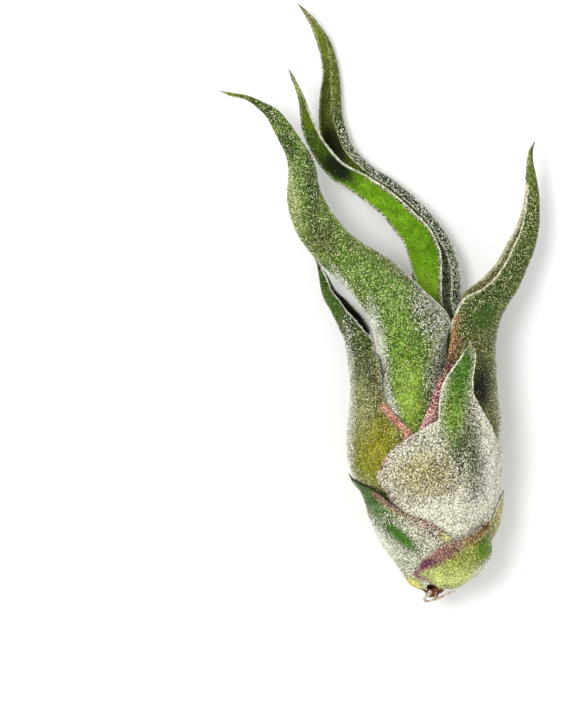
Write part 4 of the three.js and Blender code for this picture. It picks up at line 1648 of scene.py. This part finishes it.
def build_floor(stage):
    """A wide level square under the plant."""
    half = stage.floor_width / 2
    corners = [(-half, -half), (half, -half), (half, half), (-half, half)]
    mesh = bpy.data.meshes.new("floor")
    mesh.from_pydata([(x, y, -FLOOR_DROP) for x, y in corners], [], [(0, 1, 2, 3)])
    mesh.materials.append(material_named("air_plant_floor", floor_material))
    linked("floor", mesh)


def build_light(stage):
    """A soft lamp at the upper left and an even white sky."""
    lamp = bpy.data.lights.new("soft_lamp", "AREA")
    lamp.shape = "DISK"
    lamp.size = stage.lamp_width
    lamp.energy = stage.lamp_power
    holder = linked("soft_lamp", lamp)
    way = Vector(stage.lamp_way).normalized()
    holder.location = way * stage.lamp_distance
    holder.rotation_euler = way.to_track_quat("Z", "Y").to_euler()
    world = bpy.data.worlds.new("pale_sky")
    bpy.context.scene.world = world
    world.use_nodes = True
    sky = world.node_tree.nodes["Background"]
    sky.inputs["Color"].default_value = (1.0, 1.0, 1.0, 1.0)
    sky.inputs["Strength"].default_value = stage.sky_strength


def build_camera(stage):
    """A camera over the point that the plan is seen from, looking straight down."""
    camera = bpy.data.cameras.new("camera")
    camera.lens = stage.lens
    camera.clip_start, camera.clip_end = CAMERA_CLIP
    holder = linked("camera", camera)
    x, y = placed(EYE[0], EYE[1], 0)
    holder.location = (x * MM, y * MM, EYE[2] * MM)
    bpy.context.scene.camera = holder
    bpy.context.scene.view_settings.view_transform = "Standard"


# ---------------------------------------------------------------- settings


def colour_prop(name, description, code):
    """A colour that a user may change."""
    return bpy.props.FloatVectorProperty(
        name=name, description=description, default=linear(code), size=3,
        subtype="COLOR", min=0.0, max=1.0,
    )


def length_prop(name, description, millimetres):
    """A length that a user may change."""
    return bpy.props.FloatProperty(
        name=name, description=description, default=millimetres * MM, min=0.0,
        unit="LENGTH", precision=5,
    )


class AIRPLANT_PG_leaf(bpy.types.PropertyGroup):
    """Sizes of the leaves' skins, and the colours of their scales"""

    margin_thickness: length_prop("Margin", "Thickness of a leaf at its margins", 0.26)
    row_step: length_prop("Row step", "Longest step along a leaf", 0.5)
    unevenness: length_prop("Unevenness", "How far a skin strays from its section", 0.09)
    facets_across: bpy.props.IntProperty(
        name="Facets across", description="Facets across each skin", default=34, min=8
    )
    silver: colour_prop("Silver", "Colour of dense scales", "#fbfaf0")
    gold: colour_prop("Gold", "Colour of sparse scales", "#f6f4b8")


class AIRPLANT_PG_scales(bpy.types.PropertyGroup):
    """Size, number and lean of the scales"""

    size: length_prop("Size", "Radius of a scale", 0.15)
    spacing: length_prop("Spacing", "Least distance between two scales", 0.195)
    density: bpy.props.FloatProperty(
        name="Density", description="Scales on a square metre before thinning",
        default=2.0e7, min=0.0,
    )
    lean: bpy.props.FloatProperty(
        name="Lean", description="Most that a scale leans", default=math.radians(38),
        subtype="ANGLE",
    )
    narrowness: bpy.props.FloatProperty(
        name="Narrowness", description="Width of a scale as a share of its length",
        default=0.72, min=0.1, max=1.0,
    )
    sides: bpy.props.IntProperty(
        name="Sides", description="Sides of a scale", default=4, min=3
    )
    seed: bpy.props.IntProperty(name="Seed", description="Changes the strewing", default=11)


class AIRPLANT_PG_base(bpy.types.PropertyGroup):
    """Colours of the stem and the root"""

    stem_dark: colour_prop("Stem dark", "Dark wood of the stem", "#42281a")
    stem_pale: colour_prop("Stem pale", "Pale wood of the stem", "#9a6c42")
    root_dark: colour_prop("Root dark", "Dark side of the root", "#8c6448")
    root_pale: colour_prop("Root pale", "Pale side of the root", "#f4e8d6")


class AIRPLANT_PG_stage(bpy.types.PropertyGroup):
    """The floor, the light and the lens"""

    floor_colour: colour_prop("Floor", "Colour of the floor", "#fcfcfc")
    floor_width: length_prop("Floor width", "Side of the square floor", 6000.0)
    lamp_width: length_prop("Lamp width", "Width of the soft lamp", 340.0)
    lamp_distance: length_prop("Lamp distance", "From the plant to the lamp", 1200.0)
    lamp_way: bpy.props.FloatVectorProperty(
        name="Lamp way", description="Where the lamp stands", default=(-0.25, 0.08, 1.0)
    )
    lamp_power: bpy.props.FloatProperty(
        name="Lamp power", description="Power of the lamp in watts", default=6.0
    )
    sky_strength: bpy.props.FloatProperty(
        name="Sky", description="Strength of the even light all round", default=0.84
    )
    lens: bpy.props.FloatProperty(
        name="Lens", description="Focal length of the camera in millimetres",
        default=303.37,
    )


# ---------------------------------------------------------------- operators and panel


class AIRPLANT_OT_scale_leaves(bpy.types.Operator):
    """Build the three short leaves round the base and the one underneath"""

    bl_idname = "airplant.scale_leaves"
    bl_label = "Base leaves"

    def execute(self, context):
        for name in SCALE_LEAVES:
            build_leaf(name)
        return {"FINISHED"}


class AIRPLANT_OT_cup_leaves(bpy.types.Operator):
    """Build the front leaf and the two leaves at its sides"""

    bl_idname = "airplant.cup_leaves"
    bl_label = "Side leaves"

    def execute(self, context):
        for name in CUP_LEAVES:
            build_leaf(name)
        return {"FINISHED"}


class AIRPLANT_OT_tall_leaves(bpy.types.Operator):
    """Build the three tall leaves"""

    bl_idname = "airplant.tall_leaves"
    bl_label = "Tall leaves"

    def execute(self, context):
        for name in TALL_LEAVES:
            build_leaf(name)
        return {"FINISHED"}


class AIRPLANT_OT_scales(bpy.types.Operator):
    """Strew the silvery scales over every leaf"""

    bl_idname = "airplant.scales"
    bl_label = "Scales"

    def execute(self, context):
        walls = all_walls()
        tree, sockets = scale_tree()
        seed = context.scene.air_plant_scales.seed
        for i, name in enumerate(LEAVES):
            build_scales(name, tree, sockets, walls, seed + i)
        return {"FINISHED"}


class AIRPLANT_OT_stem(bpy.types.Operator):
    """Build the stub of the stem"""

    bl_idname = "airplant.stem"
    bl_label = "Stem"

    def execute(self, context):
        build_stem()
        return {"FINISHED"}


class AIRPLANT_OT_root(bpy.types.Operator):
    """Build the dried root"""

    bl_idname = "airplant.root"
    bl_label = "Root"

    def execute(self, context):
        build_root()
        return {"FINISHED"}


class AIRPLANT_OT_stage(bpy.types.Operator):
    """Build the floor, the light and the camera"""

    bl_idname = "airplant.stage"
    bl_label = "Stage"

    def execute(self, context):
        stage = context.scene.air_plant_stage
        build_floor(stage)
        build_light(stage)
        build_camera(stage)
        return {"FINISHED"}


GROUPS = {
    "air_plant_leaf": AIRPLANT_PG_leaf,
    "air_plant_scales": AIRPLANT_PG_scales,
    "air_plant_base": AIRPLANT_PG_base,
    "air_plant_stage": AIRPLANT_PG_stage,
}
OPERATORS = (
    AIRPLANT_OT_stage,
    AIRPLANT_OT_scale_leaves,
    AIRPLANT_OT_cup_leaves,
    AIRPLANT_OT_tall_leaves,
    AIRPLANT_OT_scales,
    AIRPLANT_OT_stem,
    AIRPLANT_OT_root,
)


class AIRPLANT_PT_panel(bpy.types.Panel):
    """The steps that build the air plant"""

    bl_idname = "AIRPLANT_PT_panel"
    bl_label = "Air plant"
    bl_space_type = "VIEW_3D"
    bl_region_type = "UI"
    bl_category = "Air plant"

    def draw(self, context):
        for key, group in GROUPS.items():
            box = self.layout.box()
            for field in group.__annotations__:
                box.prop(getattr(context.scene, key), field)
        for step in OPERATORS:
            self.layout.operator(step.bl_idname)


def register():
    for key, group in GROUPS.items():
        bpy.utils.register_class(group)
        setattr(bpy.types.Scene, key, bpy.props.PointerProperty(type=group))
    for step in OPERATORS:
        bpy.utils.register_class(step)
    bpy.utils.register_class(AIRPLANT_PT_panel)


def unregister():
    bpy.utils.unregister_class(AIRPLANT_PT_panel)
    for step in reversed(OPERATORS):
        bpy.utils.unregister_class(step)
    for key, group in GROUPS.items():
        delattr(bpy.types.Scene, key)
        bpy.utils.unregister_class(group)


def main():
    """Builds everything in order."""
    register()
    bpy.ops.airplant.stage()
    bpy.ops.airplant.scale_leaves()
    bpy.ops.airplant.cup_leaves()
    bpy.ops.airplant.tall_leaves()
    bpy.ops.airplant.scales()
    bpy.ops.airplant.stem()
    bpy.ops.airplant.root()


if __name__ == "__main__":
    main()
